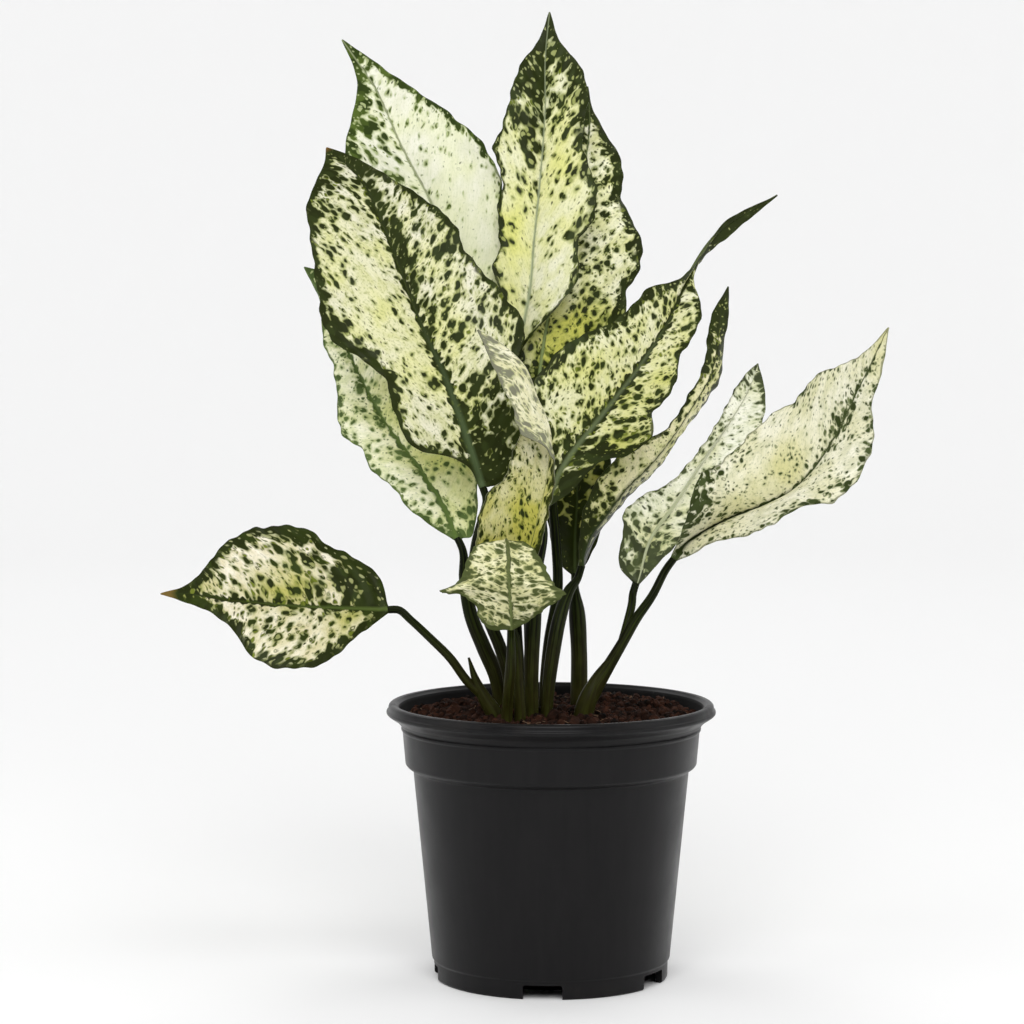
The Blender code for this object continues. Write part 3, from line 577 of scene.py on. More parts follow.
            (101, 0, 260), (112, 0, 267), (119, -2, 276), (134, -12, 284), (140, -18, 288),
            (146, -23, 294)],
        "right": [(63, -12, 196), (73, -20, 203), (89, -30, 207), (99, -36, 212), (112, -38, 221),
            (126, -40, 223), (135, -38, 230), (141, -36, 240), (144, -34, 252), (143, -32, 264),
            (148, -29, 280)],
        "lean": -30, "cream": "#F0EDD8", "veiled": "#C8C8A2", "pepper": 0.25, "slant": (1.2, 1.8),
        "flush": "#D2CE92", "mid": "#848E60", "dark": "#303A16", "deep": "#56643A", "spots": -0.28,
        "margin": 0.6, "edgeTone": 0.6, "border": (0.2, 4.0), "ribBand": (1.5, 0.3), "spotSize": 3.2,
        "haze": 0.5, "speckSize": 2.1, "foot": (0.3, 0.08), "tip": (0.0, 0.85), "streak": 0.1,
        "rib": "#36421E", "ribLine": 2.4, "seed": 10.4,
        "darkPatches": ((0.2, -0.95, 0.13, 0.42, 0.8), (0.74, 0.0, 0.2, 0.2, 0.55),
            (0.6, 0.95, 0.3, 0.2, 0.25), (1.0, 0.0, 0.08, 1.5, -0.6)),
        "flushPatches": ((0.4, -0.3, 0.2, 0.4, 0.6), (1.0, 0.0, 0.1, 1.5, 0.8)),
    },
    "pale_right": {
        "spine": [(39, 2, 182), (45, 6, 202), (56, 11, 217), (69, 17, 236), (83, 23, 256), (92, 27, 271),
            (96, 29, 282)],
        "left": [(46, 6, 187), (56, 12, 197), (69, 18, 210), (86, 24, 224), (96, 28, 242), (99, 29, 256),
            (99, 29, 272)],
        "right": [(32, 0, 189), (31, 1, 196), (33, 2, 204), (33, 4, 213), (44, 9, 223), (52, 11, 226),
            (63, 15, 236), (72, 18, 247), (79, 21, 259), (87, 25, 273), (93, 28, 280)],
        "lean": 40, "cream": "#F2F1E0", "veiled": "#D2D5B4", "flush": "#CCCC84", "mid": "#84905C",
        "dark": "#222C08", "deep": "#4A5826", "under": "#C8CCA8", "veil": 0.05, "spots": -0.22,
        "spotSize": 3.0, "border": (0.4, 3.0), "edgeTone": 0.4, "haze": 0.75, "hazeReach": 0.32,
        "foot": (0.62, 0.38), "rib": "#B4BA94", "ribLine": 0.3, "ribBand": (0.2, 0.1), "tip": (0.2, 0.75),
        "stretch": 1.8, "seed": 11.7,
        "flushPatches": ((0.12, -0.2, 0.16, 0.8, 0.7),),
    },
    "small_front": {
        "spine": [(-18, -40, 166), (-18, -48, 179), (-19, -54, 192), (-19, -53, 201), (-20, -47, 206),
            (-20, -39, 203)],
        "left": [(-14, -41, 167), (-8, -44, 171), (-1, -50, 177), (6, -56, 183), (1, -51, 187),
            (-2, -48, 193), (-7, -45, 201), (-13, -42, 205)],
        "right": [(-25, -41, 165), (-31, -44, 169), (-34, -48, 177), (-40, -52, 182), (-49, -58, 184),
            (-41, -50, 188), (-38, -48, 195), (-34, -45, 203), (-27, -42, 205)],
        "lean": 0, "puff": 0.05, "ripple": 0.3, "cream": "#F4EFC8", "veiled": "#CAC884",
        "flush": "#D0CC70", "mid": "#8A9058", "dark": "#384016", "deep": "#566030", "veil": 0.12,
        "spots": 0.0, "specks": 0.0, "spotSize": 2.3, "speckSize": 1.2, "slant": (0.2, 0.4),
        "stretch": 2.2, "border": (0.6, 3.5), "ribBand": (1.0, 0.6), "rib": "#6C7844", "hazeReach": 0.25,
        "seed": 12.3,
    },
    "folded": {
        "spine": [(-17, -28, 174), (-11, -29, 195), (-6, -31, 215), (-2, -33, 233), (-1, -34, 245),
            (-3, -35, 259), (-7, -36, 268), (-13, -38, 283), (-21, -39, 291), (-33, -41, 299)],
        "left": [(-27, -31, 185), (-33, -34, 197), (-33, -37, 208), (-31, -41, 220), (-27, -42, 228),
            (-20, -40, 234), (-18, -40, 242), (-14, -40, 252), (-17, -40, 266), (-23, -40, 280),
            (-29, -39, 291)],
        "right": [(-9, -32, 190), (-2, -37, 214), (1, -40, 232), (0, -43, 243), (-6, -47, 250),
            (-13, -49, 253), (-17, -49, 264), (-22, -49, 275), (-27, -47, 286), (-30, -45, 293)],
        "lean": -6, "puff": -0.12, "ripple": 0.3, "cream": "#F6F2D8", "veiled": "#CECA92",
        "flush": "#BFBA58", "spots": -0.15, "specks": -0.12, "spotSize": 2.6, "speckSize": 1.2,
        "stretch": 2.4, "slant": (3.0, 3.0), "edgeTone": 0.6, "under": "#DAD8BC", "veil": 0.26,
        "border": (0.4, 2.5), "ribBand": (0.0, 0.0), "ribLine": 0.2, "rib": "#4A5A2C", "seed": 13.8,
        # The strong dark patch on the lower right half is painted shade on the half that folds away behind
        # the rib
        "darkPatches": ((0.15, 1.0, 0.4, 0.45, 1.1),),
        "flushPatches": ((0.2, -0.2, 0.32, 1.2, 0.85),),
    },
}
for leafName, ownLook in leaves.items():
    leaves[leafName] = {**everyLeaf, **ownLook}

# How finely blades are built, and the relief that all of them share
bladeSizes = {
    "rows": 150,
    "halfColumns": 26,
    "thickness": 0.6,
    "marginThickness": 0.36,
    "footWidth": 1.7,
    "tipWidth": 0.3,
    "ribDepth": 1.9,
    "ribReach": 1.15,
    "groove": 0.3,
    "veinSpacing": 5.2,
    "veinHeight": 0.17,
    "edgeWobble": 0.5,
    "edgeFrill": 0.35,
}

# Where the plant is looked at from. A leaf that leans is moved along the lines of sight from there
viewer = np.array(studio["cameraPlace"]) / mm


def bladeCurves(leaf):
    # The spine and the two edges, with the blade's lean and turn put in
    foot = np.array(leaf["spine"][0], float)
    length = np.linalg.norm(np.array(leaf["spine"][-1]) - foot)
    curves = []
    for part, side in (("spine", 0), ("left", -1), ("right", 1)):
        places = np.array(leaf[part], float)
        share = np.minimum(np.linalg.norm(places - foot, axis=1) / length, 1)
        deeper = leaf["lean"] * share**2 + side * leaf["turn"] * np.sin(math.pi * share)
        sight = places - viewer
        curves.append(places + sight * (deeper / sight[:, 1])[:, None])
    return curves


def bladeSurface(leaf, rows, columns):
    # Grid of points on the blade's middle surface, and the share along it of each row
    shares = np.linspace(0, 1, rows)
    shares = 0.6 * shares + 0.4 * (1 - np.cos(math.pi * shares)) / 2
    middle, left, right = bladeCurves(leaf)
    spine = curveThrough(middle, shares)
    along = unit(np.gradient(spine, axis=0))
    across = [right[end] - left[end] for end in (0, -1)]
    across = [unit(side - along[end] * (side @ along[end])) for side, end in zip(across, (0, -1))]
    half = len(columns)
    grid = np.zeros((rows, 2 * half + 1, 3))
    grid[:, half] = spine
    fade = np.sin(math.pi * shares)[:, None]
    for edge, turn in ((left, -1), (right, 1)):
        start = middle[0] + turn * bladeSizes["footWidth"] * across[0]
        end = middle[-1] + turn * bladeSizes["tipWidth"] * across[1]
        reach = curveThrough([start, *edge, end], shares) - spine
        # Small bays and bulges of the margin, a finger's width and less apart
        run = shares * len(edge) * 12
        bays = np.sin(run * 0.55 + 2.1 * turn + edge[0][0]) + 0.6 * np.sin(run * 1.13 + edge[0][2])
        reach = reach + unit(reach) * bladeSizes["edgeWobble"] * fade * bays[:, None]
        width = np.linalg.norm(reach, axis=1, keepdims=True)
        normal = unit(np.cross(turn * reach, along))
        swell = normal * width * leaf["puff"] * fade
        wave = normal * leaf["ripple"] * fade * np.sin(21 * shares + 1.5 * turn)[:, None]
        frill = normal * bladeSizes["edgeFrill"] * fade * np.sin(0.9 * run + edge[0][2])[:, None]
        for i, column in enumerate(columns):
            relief = swell * 4 * column * (1 - column) + wave * column**2 + frill * column**6
            grid[:, half + turn * (i + 1)] = spine + reach * column + relief
    return grid, shares


def patchSum(patches, s, t):
    # What all patches add at shares s along and t across a blade
    total = np.zeros_like(s)
    for centre, side, reachAlong, reachAcross, strength in patches:
        total += strength * np.exp(-(((s - centre) / reachAlong) ** 2) - ((t - side) / reachAcross) ** 2)
    return total


def makeBlade(name, leaf):
    # A thin waved blade with its midrib and side veins in relief
    size = bladeSizes
    rows, half = size["rows"], size["halfColumns"]
    even = np.linspace(0, 1, half + 1)[1:]
    columns = 0.25 * even + 0.75 * (1 - np.cos(math.pi * even)) / 2
    grid, shares = bladeSurface(leaf, rows, columns)
    wide = grid.shape[1]
    s = shares[:, None].repeat(wide, axis=1)
    t = np.concatenate([-columns[::-1], [0], columns])[None, :].repeat(rows, axis=0)
    steps = np.linalg.norm(np.diff(grid, axis=1), axis=2)
    across = np.zeros((rows, wide))
    across[:, half + 1:] = np.cumsum(steps[:, half:], axis=1)
    across[:, :half] = -np.cumsum(steps[:, :half][:, ::-1], axis=1)[:, ::-1]
    along = np.concatenate([[0], np.cumsum(np.linalg.norm(np.diff(grid[:, half], axis=0), axis=1))])
    along = np.repeat(along[:, None], wide, axis=1)

    # How far each point lies from its own half's margin
    margin = np.zeros((rows, wide))
    for part, edge in ((slice(0, half + 1), grid[:, 0]), (slice(half + 1, wide), grid[:, -1])):
        block = grid[:, part].reshape(-1, 1, 3)
        away = np.linalg.norm(block - edge[None], axis=2).min(axis=1)
        margin[:, part] = away.reshape(rows, -1)

    normal = unit(np.cross(np.gradient(grid, axis=1), np.gradient(grid, axis=0)))
    normal[0] = normal[0, half]
    normal[-1] = unit(normal[-2].mean(axis=0))

    # Places along and across the side veins, which bend towards the tip
    depth = np.abs(across)
    slant = np.where(across < 0, *leaf["slant"])
    spread = np.sqrt(1 + slant**2)
    bend = (along - slant * depth - 0.005 * depth**2) / spread
    run = (depth + slant * along) / spread

    fade = smoothStep((depth - 1.0) / 4) * smoothStep(margin / 3)
    veins = size["veinHeight"] * np.cos(2 * math.pi * bend / size["veinSpacing"]) * fade
    near = np.exp(-((depth / (size["ribReach"] * (1.15 - 0.75 * s))) ** 2))
    rib = size["ribDepth"] * (1 - 0.8 * s) * near
    groove = size["groove"] * (1 - 0.6 * s) * near
    thin = size["marginThickness"]
    plump = thin + (size["thickness"] - thin) * smoothStep(margin / 6)
    above = plump * (0.1 if leaf["puff"] < 0 else 0.5)
    below = plump - above
    # The foot ends as round as the stalk that it grows from
    merge = 1 - smoothStep(along / 5)
    roundOff = merge * size["footWidth"] * np.sqrt(1 - (0.985 * t) ** 2)
    above = (1 - merge) * (above - groove + veins) + 0.7 * roundOff
    below = (1 - merge) * (below + rib - veins) + roundOff
    upper = grid + normal * above[..., None]
    lower = grid - normal * below[..., None]
    points = np.concatenate([upper.reshape(-1, 3), lower.reshape(-1, 3)])

    # Upper and lower skin, then the walls between them along the two margins and at the two ends
    under = rows * wide
    faces = []
    for i in range(rows - 1):
        for a in range(i * wide, i * wide + wide - 1):
            faces.append((a, a + 1, a + wide + 1, a + wide))
            faces.append((under + a, under + a + wide, under + a + wide + 1, under + a + 1))
        for a in (i * wide, i * wide + wide - 1):
            faces.append((a, a + wide, under + a + wide, under + a))
    for row in (0, (rows - 1) * wide):
        faces += [(a, a + 1, under + a + 1, under + a) for a in range(row, row + wide - 1)]
    blade = meshObject("leaf_blade_" + name, points, faces, livingLeaf(name, leaf))

    # What the leaf's colours are laid by, stored on its points
    tipWeight, tipStart = leaf["tip"]
    footWeight, footEnd = leaf["foot"]
    dark = tipWeight * smoothStep((s - tipStart) / (1 - tipStart))
    dark = dark + footWeight * (1 - smoothStep(s / footEnd)) + patchSum(leaf["darkPatches"], s, t)
    flush = patchSum(leaf["flushPatches"], s, t)
    # How much the dark line at the margin widens and narrows
    side = np.sign(across)
    wander = np.sin(0.31 * along + 2 * side) + np.sin(0.83 * along + leaf["seed"]) * 0.6
    wander = (wander + np.sin(1.9 * along + 3 * side) * 0.5) / 1.6
    fields = {
        "place": (run + 97 * side, bend, margin),
        "share": (s, depth, wander),
        "tone": (dark, flush, np.zeros_like(s)),
    }
    for label, parts in fields.items():
        top = np.stack(parts, axis=2).reshape(-1, 3)
        bottom = top.copy()
        if label == "tone":
            bottom[:, 2] = 1  # the underside
        stored = blade.data.attributes.new(label, "FLOAT_VECTOR", "POINT")
        stored.data.foreach_set("vector", np.concatenate([top, bottom]).ravel())
    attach(blade, "root")
    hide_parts("blade_" + name)


def livingLeaf(name, leaf):
    # Living variegated leaf: soft waxy skin. Cream cells without green, dark flecks strung along the
    # side veins, and softer olive where green cells lie deeper
    skin, add, shader = newMaterial("living_leaf_" + name)

    def field(label):
        # The three parts of a field that is stored on the blade
        stored = add("Attribute", give="Vector", attribute_name=label)
        return add("SeparateXYZ", (stored,)).node.outputs

    run, bend, margin = field("place")
    length, depth, wander = field("share")
    dark, flush, below = field("tone")
    seed = leaf["seed"]
    flow = add("CombineXYZ", (run, bend))

    def grained(long, wide, detail, shift, give=None):
        # Noise whose marks are so long and so wide in millimetres
        scaled = add("Mapping", {"Vector": flow, "Location": (seed + shift, 3 * seed, 0),
                                 "Scale": (1 / long, 1 / wide, 1)})
        return add("TexNoise", {"Vector": scaled, "Scale": 1, "Detail": detail}, give, noise_dimensions="2D")

    warped = flow
    for long, wide, shift, strength in ((3.0, 2.4, 5, 1.3), (16, 12, 23, 3.5)):
        push = grained(long, wide, 0, shift, "Color")
        warped = add("VectorMath", (push, (strength, strength, 0), warped), operation="MULTIPLY_ADD")
    patchy = grained(24, 17, 1, 41)

    # How full of marks each place is: fuller towards the margin
    weight, reach = leaf["border"]
    border = add("MapRange", (margin, 0, reach, weight, 0))
    placed = add("Math", (border, dark), operation="ADD")
    varied = add("Math", (patchy, 0.5, placed), operation="MULTIPLY_ADD")
    fullness = add("Math", (varied, 0.25), operation="SUBTRACT")

    def spots(size, level, share, shift):
        # Round marks, one to a cell: how far inside the mark, the cell's lots, and how far its middle is
        scaled = add("Mapping", {"Vector": warped, "Location": (shift + seed, shift, 0),
                                 "Scale": (1 / (size * leaf["stretch"]), 1 / size, 1)})
        cells = add("TexVoronoi", {"Vector": scaled, "Scale": 1, "Smoothness": 0.7},
                    voronoi_dimensions="2D", feature="SMOOTH_F1").node.outputs
        lots = add("SeparateColor", (cells["Color"],)).node.outputs
        filled = add("Math", (fullness, share, level), operation="MULTIPLY_ADD")
        radius = add("Math", (lots[0], 0.5, filled), operation="MULTIPLY_ADD")
        inside = add("Math", (radius, cells["Distance"]), operation="SUBTRACT")
        return inside, lots, cells["Distance"]

    inLarge, largeLots, _ = spots(leaf["spotSize"], leaf["spots"], 1, 0)
    inSmall, smallLots, away = spots(leaf["speckSize"], leaf["specks"], 0.6, 13)
    large = add("MapRange", (inLarge, -0.06, 0.08, 0, 1))
    small = add("MapRange", (inSmall, -0.13, 0.13, 0, 1))
    marked = add("Math", (large, small), operation="MAXIMUM")
    # Pale pinpricks stay open in the dark patches
    prick = add("Math", (smallLots[2], -1, leaf["pricks"]), operation="MULTIPLY_ADD")
    gap = add("Math", (prick, away), operation="SUBTRACT")
    solid = add("MapRange", (gap, -0.1, 0.1, 1, 0.1))
    pricked = add("Math", (marked, solid), operation="MULTIPLY")

    # A dark band of ragged width lies along the midrib, widest at the foot
    bandWidth = add("MapRange", (length, 0, 1, *leaf["ribBand"]))
    ragged = add("MapRange", (grained(7, 2.8, 1, 83), 0.3, 0.75, 0.45, 2))
    reached = add("Math", (bandWidth, ragged, -0.15), operation="MULTIPLY_ADD")
    inBand = add("Math", (reached, depth), operation="SUBTRACT")
    band = add("MapRange", (inBand, -0.25, 0.25, 0, 1))

    # A thin dark line of uneven width follows the margin
    edgeWidth = add("MapRange", (wander, -1, 1, leaf["margin"] * 0.4, leaf["margin"] * 1.8))
    fromEdge = add("Math", (margin, edgeWidth), operation="DIVIDE")
    edge = add("MapRange", (fromEdge, 0.8, 1.25, leaf["edgeTone"], 0))
    fleck = pricked
    for mark in (band, edge):
        fleck = add("Math", (fleck, mark), operation="MAXIMUM")

    # The marks' own tones. Specks on their own are greener and softer than the big marks
    deepness = add("MapRange", (largeLots[1], 0.3, 1, 0, 0.5))
    lone = add("Math", (small, large), operation="SUBTRACT", use_clamp=True)
    softness = add("Math", (smallLots[1], leaf["softSpecks"]), operation="MULTIPLY")
    softened = add("Math", (lone, softness), operation="MULTIPLY")

    # The softer tones of the ground: clouds, yellow-green flushes, green veins, haze round the big marks,
    # and green peppering too small to see one by one
    clouded = add("MapRange", (grained(9, 5, 2, 97), 0.38, 0.66, 0, 0.6))
    flushNoise = add("MapRange", (patchy, 0.4, 0.65, 0, 0.36))
    flushed = add("Math", (flush, flushNoise), operation="ADD", use_clamp=True)
    veined = add("MapRange", (grained(9, 0.8, 2, 59), 0.42, 0.68, 0, leaf["streak"]))
    hazy = add("MapRange", (inLarge, -leaf["hazeReach"], 0, 0, leaf["haze"]))
    peppered = add("MapRange", (grained(1.5, 0.9, 1, 107), 0.56, 0.68, 0, leaf["pepper"]))

    # The rib's thin green line, the dry brown tip, and the duller underside
    lineWidth = add("MapRange", (length, 0, 1, leaf["ribLine"], leaf["ribLine"] * 0.3))
    fromRib = add("Math", (depth, lineWidth), operation="DIVIDE")
    ribTone = add("MapRange", (length, 0.1, leaf["ribEnds"], 0.9, 0))
    onRib = add("MapRange", (fromRib, 0.3, 1.2, ribTone, 0))
    drying = add("MapRange", (length, leaf["brownFrom"], leaf["brownFrom"] + 0.035, 0, 0.85))
    veiled = add("Math", (below, leaf["veil"]), operation="MULTIPLY")

    # Each layer covers what is under it as strongly as its share says
    shade = leaf["dark"]
    for share, above in ((deepness, leaf["deep"]), (softened, leaf["mid"])):
        shade = add("Mix", (share, shade, above), data_type="RGBA")
    colour = leaf["cream"]
    for share, above in (
            (clouded, leaf["veiled"]), (flushed, leaf["flush"]), (veined, leaf["mid"]), (hazy, leaf["mid"]),
            (peppered, leaf["mid"]), (fleck, shade), (onRib, leaf["rib"]), (drying, leaf["brown"]),
            (veiled, leaf["under"])):
        colour = add("Mix", (share, colour, above), data_type="RGBA")
    rough = add("MapRange", (patchy, 0.3, 0.7, 0.36, 0.5))
    bump = add("Bump", {"Strength": 0.25, "Distance": 0.0003, "Height": grained(9, 1.8, 1, 71)})
    fillSockets(shader, {"Base Color": colour, "Roughness": rough, "Specular IOR Level": 0.11,
                         "Normal": bump})
    return skin


# Each stalk: places from the soil up, each with its radius. It ends at the foot of the blade it carries
stalks = {
    "low_left": [(-26, -18, 124, 2.6), (-31, -18, 132, 2.3), (-38, -18, 139, 2.1), (-46, -19, 150, 2.0),
        (-55, -19, 159, 1.9), (-64, -19.5, 167.5, 1.8)],
    "big": [(-18, -9, 124, 3.0), (-19, -10, 138, 3.0), (-23, -11, 153, 2.9), (-29, -12, 168, 2.8),
        (-35, -12, 187, 2.7), (-34, -13, 201, 2.6), (-31, -13.5, 213, 2.4)],
    "low_behind": [(-23, 2, 124, 3.6), (-25, 2, 138, 3.6), (-31, 3, 152, 3.5), (-37, 4, 167, 3.2),
        (-40, 5, 184, 2.6)],
    "high_left": [(-14, 3, 124, 2.8), (-16, 3, 160, 2.6), (-19, 5, 211, 2.3), (-22, 9, 252, 2.0)],
    "top": [(-9, -7, 124, 2.8), (-10, -3, 166, 2.6), (-11, 0, 211, 2.3), (-13, 4, 255, 2.0)],
    "behind_top": [(-3, 1, 124, 2.8), (-1, 4, 154, 2.6), (3, 8, 179, 2.4), (2, 9, 202, 2.2),
        (-2, 10, 239, 2.0)],
    "right": [(-9, -20, 124, 3.3), (-9, -21, 145, 3.4), (-8, -22, 168, 3.6), (-7, -23, 190, 3.2),
        (-4, -23, 207, 2.5)],
    "slender": [(-2, -13, 124, 2.8), (-1, -12, 137, 3.0), (1, -9, 152, 3.3), (4, -4, 167, 3.2),
        (8, 3, 178, 2.6)],
    "dark": [(13, 20, 124, 4.0), (13, 21, 149, 3.8), (12, 22, 167, 3.7)],
    "far_right": [(15, -14, 124, 4.0), (20, -13, 135, 3.6), (26, -12, 145, 2.9), (32, -11, 155, 2.5),
        (39, -9, 167, 2.3), (46, -8, 177, 2.0)],
    "pale_right": [(32, -11, 155, 2.0), (35, -7, 165, 2.0), (37, -3, 173, 1.9)],
    "small_front": [(-20, -30, 124, 2.6), (-19, -34, 137, 2.5), (-18, -37, 151, 2.3)],
    "folded": [(-14, -27, 124, 2.6), (-15, -27, 141, 2.5), (-16, -27, 159, 2.2)],
}

# Sheaths round the foot of the two outer stalks, each rising to a point beside its stalk
sheaths = {
    "low_left": [(-26, -18, 124, 4.0), (-30, -18, 131, 3.2), (-34, -18, 139, 2.0),
        (-37.5, -18.5, 150, 0.5)],
    "far_right": [(15, -14, 124, 4.6), (17, -14, 131, 4.2), (21, -13, 140, 2.6), (26, -13, 148, 1.2)],
}

# A stalk that grows out of another one instead of out of the soil
branches = {"pale_right": "far_right"}

stalkFeet = {name: runs[0] for name, runs in {**stalks, **sheaths}.items() if name not in branches}


# Soil: crumbly coir and peat. Its mound, heaps and crumbs are the packed soil's own, with finer grain
# added. A heap is (x, y, reach, height). Bits are the loose crumbs that lie on top
soilSizes = {
    "clearance": 0.3,
    "level": 119.9,
    "mound": 1.6,
    "heaps": ((51, 24, 17, 3.6), (26, 36, 12, 2.2), (-46, 20, 20, 1.4), (-12, 46, 15, 1.0)),
    "crumbCount": 260,
    "crumbRadius": 5.4,
    "crumbHeight": 2.6,
    "crumbShift": 2.6,
    "crumbSeed": 4,
    "rings": 100,
    "spokes": 300,
    "grain": 1.5,
    "pressed": 0.8,
    "bitSpacing": 1.7,
    "bitSize": 1.35,
    "bitSeed": 3,
    "bitJag": 1.3,
    "bitLift": 0.1,
    "bitEdge": 4.5,
    "bitRings": 60,
    "bitSpokes": 180,
    "fibres": 120,
    "fibreLength": 8.0,
    "fibreRadius": 0.22,
    "fibreCurl": 5.0,
    "fibreSeed": 9,
    "dark": "#070402",
    "light": "#3C2318",
    "fibreDark": "#2A1A10",
    "fibreLight": "#6E5238",
}


def pottingMix():
    # Coir and peat potting mix: moist dark crumbs that scatter light with hardly any gloss. Lumps of about
    # 4 mm, grains of about 0.8 mm
    skin, add, shader = newMaterial("coir_potting_mix")
    coords = add("TexCoord", give="Object")
    tint = add("Attribute", give="Fac", attribute_name="tint")
    coarse = add("TexNoise", {"Vector": coords, "Scale": 260, "Detail": 5, "Roughness": 0.65})
    fine = add("TexNoise", {"Vector": coords, "Scale": 1300, "Detail": 3})
    varied = add("Math", (tint, 0.45, coarse), operation="MULTIPLY_ADD")
    share = add("MapRange", (varied, 0.45, 1.05, 0, 1))
    colour = add("Mix", (share, soilSizes["dark"], soilSizes["light"]), data_type="RGBA")
    rough = add("MapRange", (fine, 0.3, 0.7, 0.78, 0.98))
    grains = add("Bump", {"Strength": 0.5, "Distance": 0.0006, "Height": fine})
    fillSockets(shader, {"Base Color": colour, "Roughness": rough, "Specular IOR Level": 0.1,
                         "Normal": grains})
    return skin


def dryFibre():
    # Coir fibre: dry husk strand, light brown and matt, its tone changing every 8 mm or so
    skin, add, shader = newMaterial("coir_fibre")
    coords = add("TexCoord", give="Object")
    clouds = add("TexNoise", {"Vector": coords, "Scale": 120, "Detail": 2})
    colour = add("Mix", (clouds, soilSizes["fibreDark"], soilSizes["fibreLight"]), data_type="RGBA")
    fillSockets(shader, {"Base Color": colour, "Roughness": 0.8})
    return skin


def soilCrumbs():
    # Each crumb's place, radius and height, drawn at random round an even spread
    s = soilSizes
    count, shift = s["crumbCount"], s["crumbShift"]
    draw = np.random.default_rng(s["crumbSeed"])
    step = np.arange(count) + 0.5
    angle = step * math.pi * (3 - math.sqrt(5))
    r = (potSizes["mouthRadius"] - 5) * np.sqrt(step / count)
    places = np.stack([r * np.cos(angle), r * np.sin(angle)], axis=1)
    places += draw.uniform(-shift, shift, (count, 2))
    size = draw.uniform(0.5, 1.0, (count, 1))
    return np.concatenate([places, size * s["crumbRadius"], size * s["crumbHeight"]], axis=1)


def soilHeight(x, y):
    # Level of the soil at arrays of places
    s = soilSizes
    reach = np.minimum(1, np.hypot(x, y) / potSizes["mouthRadius"])
    heaps = sum(high * np.exp(-((x - hx) ** 2 + (y - hy) ** 2) / far**2)
                for hx, hy, far, high in s["heaps"])
    relief = np.zeros_like(x)
    for cx, cy, radius, high in soilCrumbs():
        relief = np.maximum(relief, high * (1 - ((x - cx) ** 2 + (y - cy) ** 2) / radius**2))
    return s["level"] + s["mound"] * (1 - reach**2) + (heaps + relief) * (1 - reach**8)


def makeSoil(skin):
    p, s = potSizes, soilSizes
    wall, foot, waist, collar, plinth = (
        p[size] for size in ("wall", "footRadius", "waistRadius", "collarBaseRadius", "plinthRadius"))
    step, mouth, top = p["collarBaseHeight"], p["mouthRadius"], p["collarTopRadius"]
    # The sides keep clear of the pot's inner wall, and then the top runs in to the middle
    sides = [
        (plinth - 1.6, wall + s["clearance"]), (plinth + 1.8, 5.5 + wall), (foot - 1.8, 5.5 + wall),
        (foot - 1.0, p["footHeight"] + 1.8), (waist - wall - 0.5, step - 3),
        (waist - wall + 0.2, step + 0.8), (collar - wall - 0.5, step + 2.8), (top - wall - 0.5, 116.2),
        (mouth - 3, s["level"]),
    ]
    spokes, rings = s["spokes"], len(sides) + s["rings"]
    reach = (mouth - 3.6) * (1 - np.arange(s["rings"]) / s["rings"])
    points = ringPoints(sides + [(r, 0) for r in reach], spokes)
    surface = points[len(sides) * spokes:]
    surface[:, 2] = soilHeight(surface[:, 0], surface[:, 1])
    for point in surface:
        spot = Vector((point[0], point[1], 3.0))
        rough = 0.7 * noise.fractal(spot / 3.0, 0.6, 2.1, 4) - 0.4 * abs(noise.noise(spot / 1.3))
        point[2] += s["grain"] * rough
    # Pressed down a little round each stalk
    for fx, fy, _, radius in stalkFeet.values():
        away = np.hypot(surface[:, 0] - fx, surface[:, 1] - fy) / (radius + 2.0)
        surface[:, 2] -= s["pressed"] * np.exp(-(away**2))
    points = np.concatenate([points, [(0, 0, surface[-spokes:, 2].mean())]])
    faces = [tuple(range(spokes))] + ringFaces(rings, spokes)
    faces += fanFaces((rings - 1) * spokes, spokes, len(points) - 1)
    soil = meshObject("potting_soil", points, faces, skin)
    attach(soil, "root")
    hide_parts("soil")


def newGroup(name, inputs):
    # A Geometry Nodes group with named inputs, what adds nodes to it, and the sockets that bring them in
    tree = bpy.data.node_groups.new(name, "GeometryNodeTree")
    tree.interface.new_socket("Geometry", in_out="OUTPUT", socket_type="NodeSocketGeometry")
    for label, kind in {"Geometry": "Geometry", **inputs}.items():
        tree.interface.new_socket(label, in_out="INPUT", socket_type="NodeSocket" + kind)
    add = partial(addNode, tree)
    return tree, add, add("NodeGroupInput").node.outputs


def finishGroup(add, geometry, skin):
    # Makes instances real, dresses the result and sends it out
    whole = add("GeometryNodeRealizeInstances", (geometry,))
    dressed = add("GeometryNodeSetMaterial", {"Geometry": whole, "Material": skin})
    add("NodeGroupOutput", (dressed,))


def applyGroup(thing, tree, values):
    # Puts a group on a piece, sets its inputs by their identifiers, and keeps the result as a plain mesh
    made = thing.modifiers.new(tree.name, "NODES")
    made.node_group = tree
    for socket in tree.interface.items_tree:
        if socket.name in values:
            made[socket.identifier] = values[socket.name]
    bakeMesh(thing)


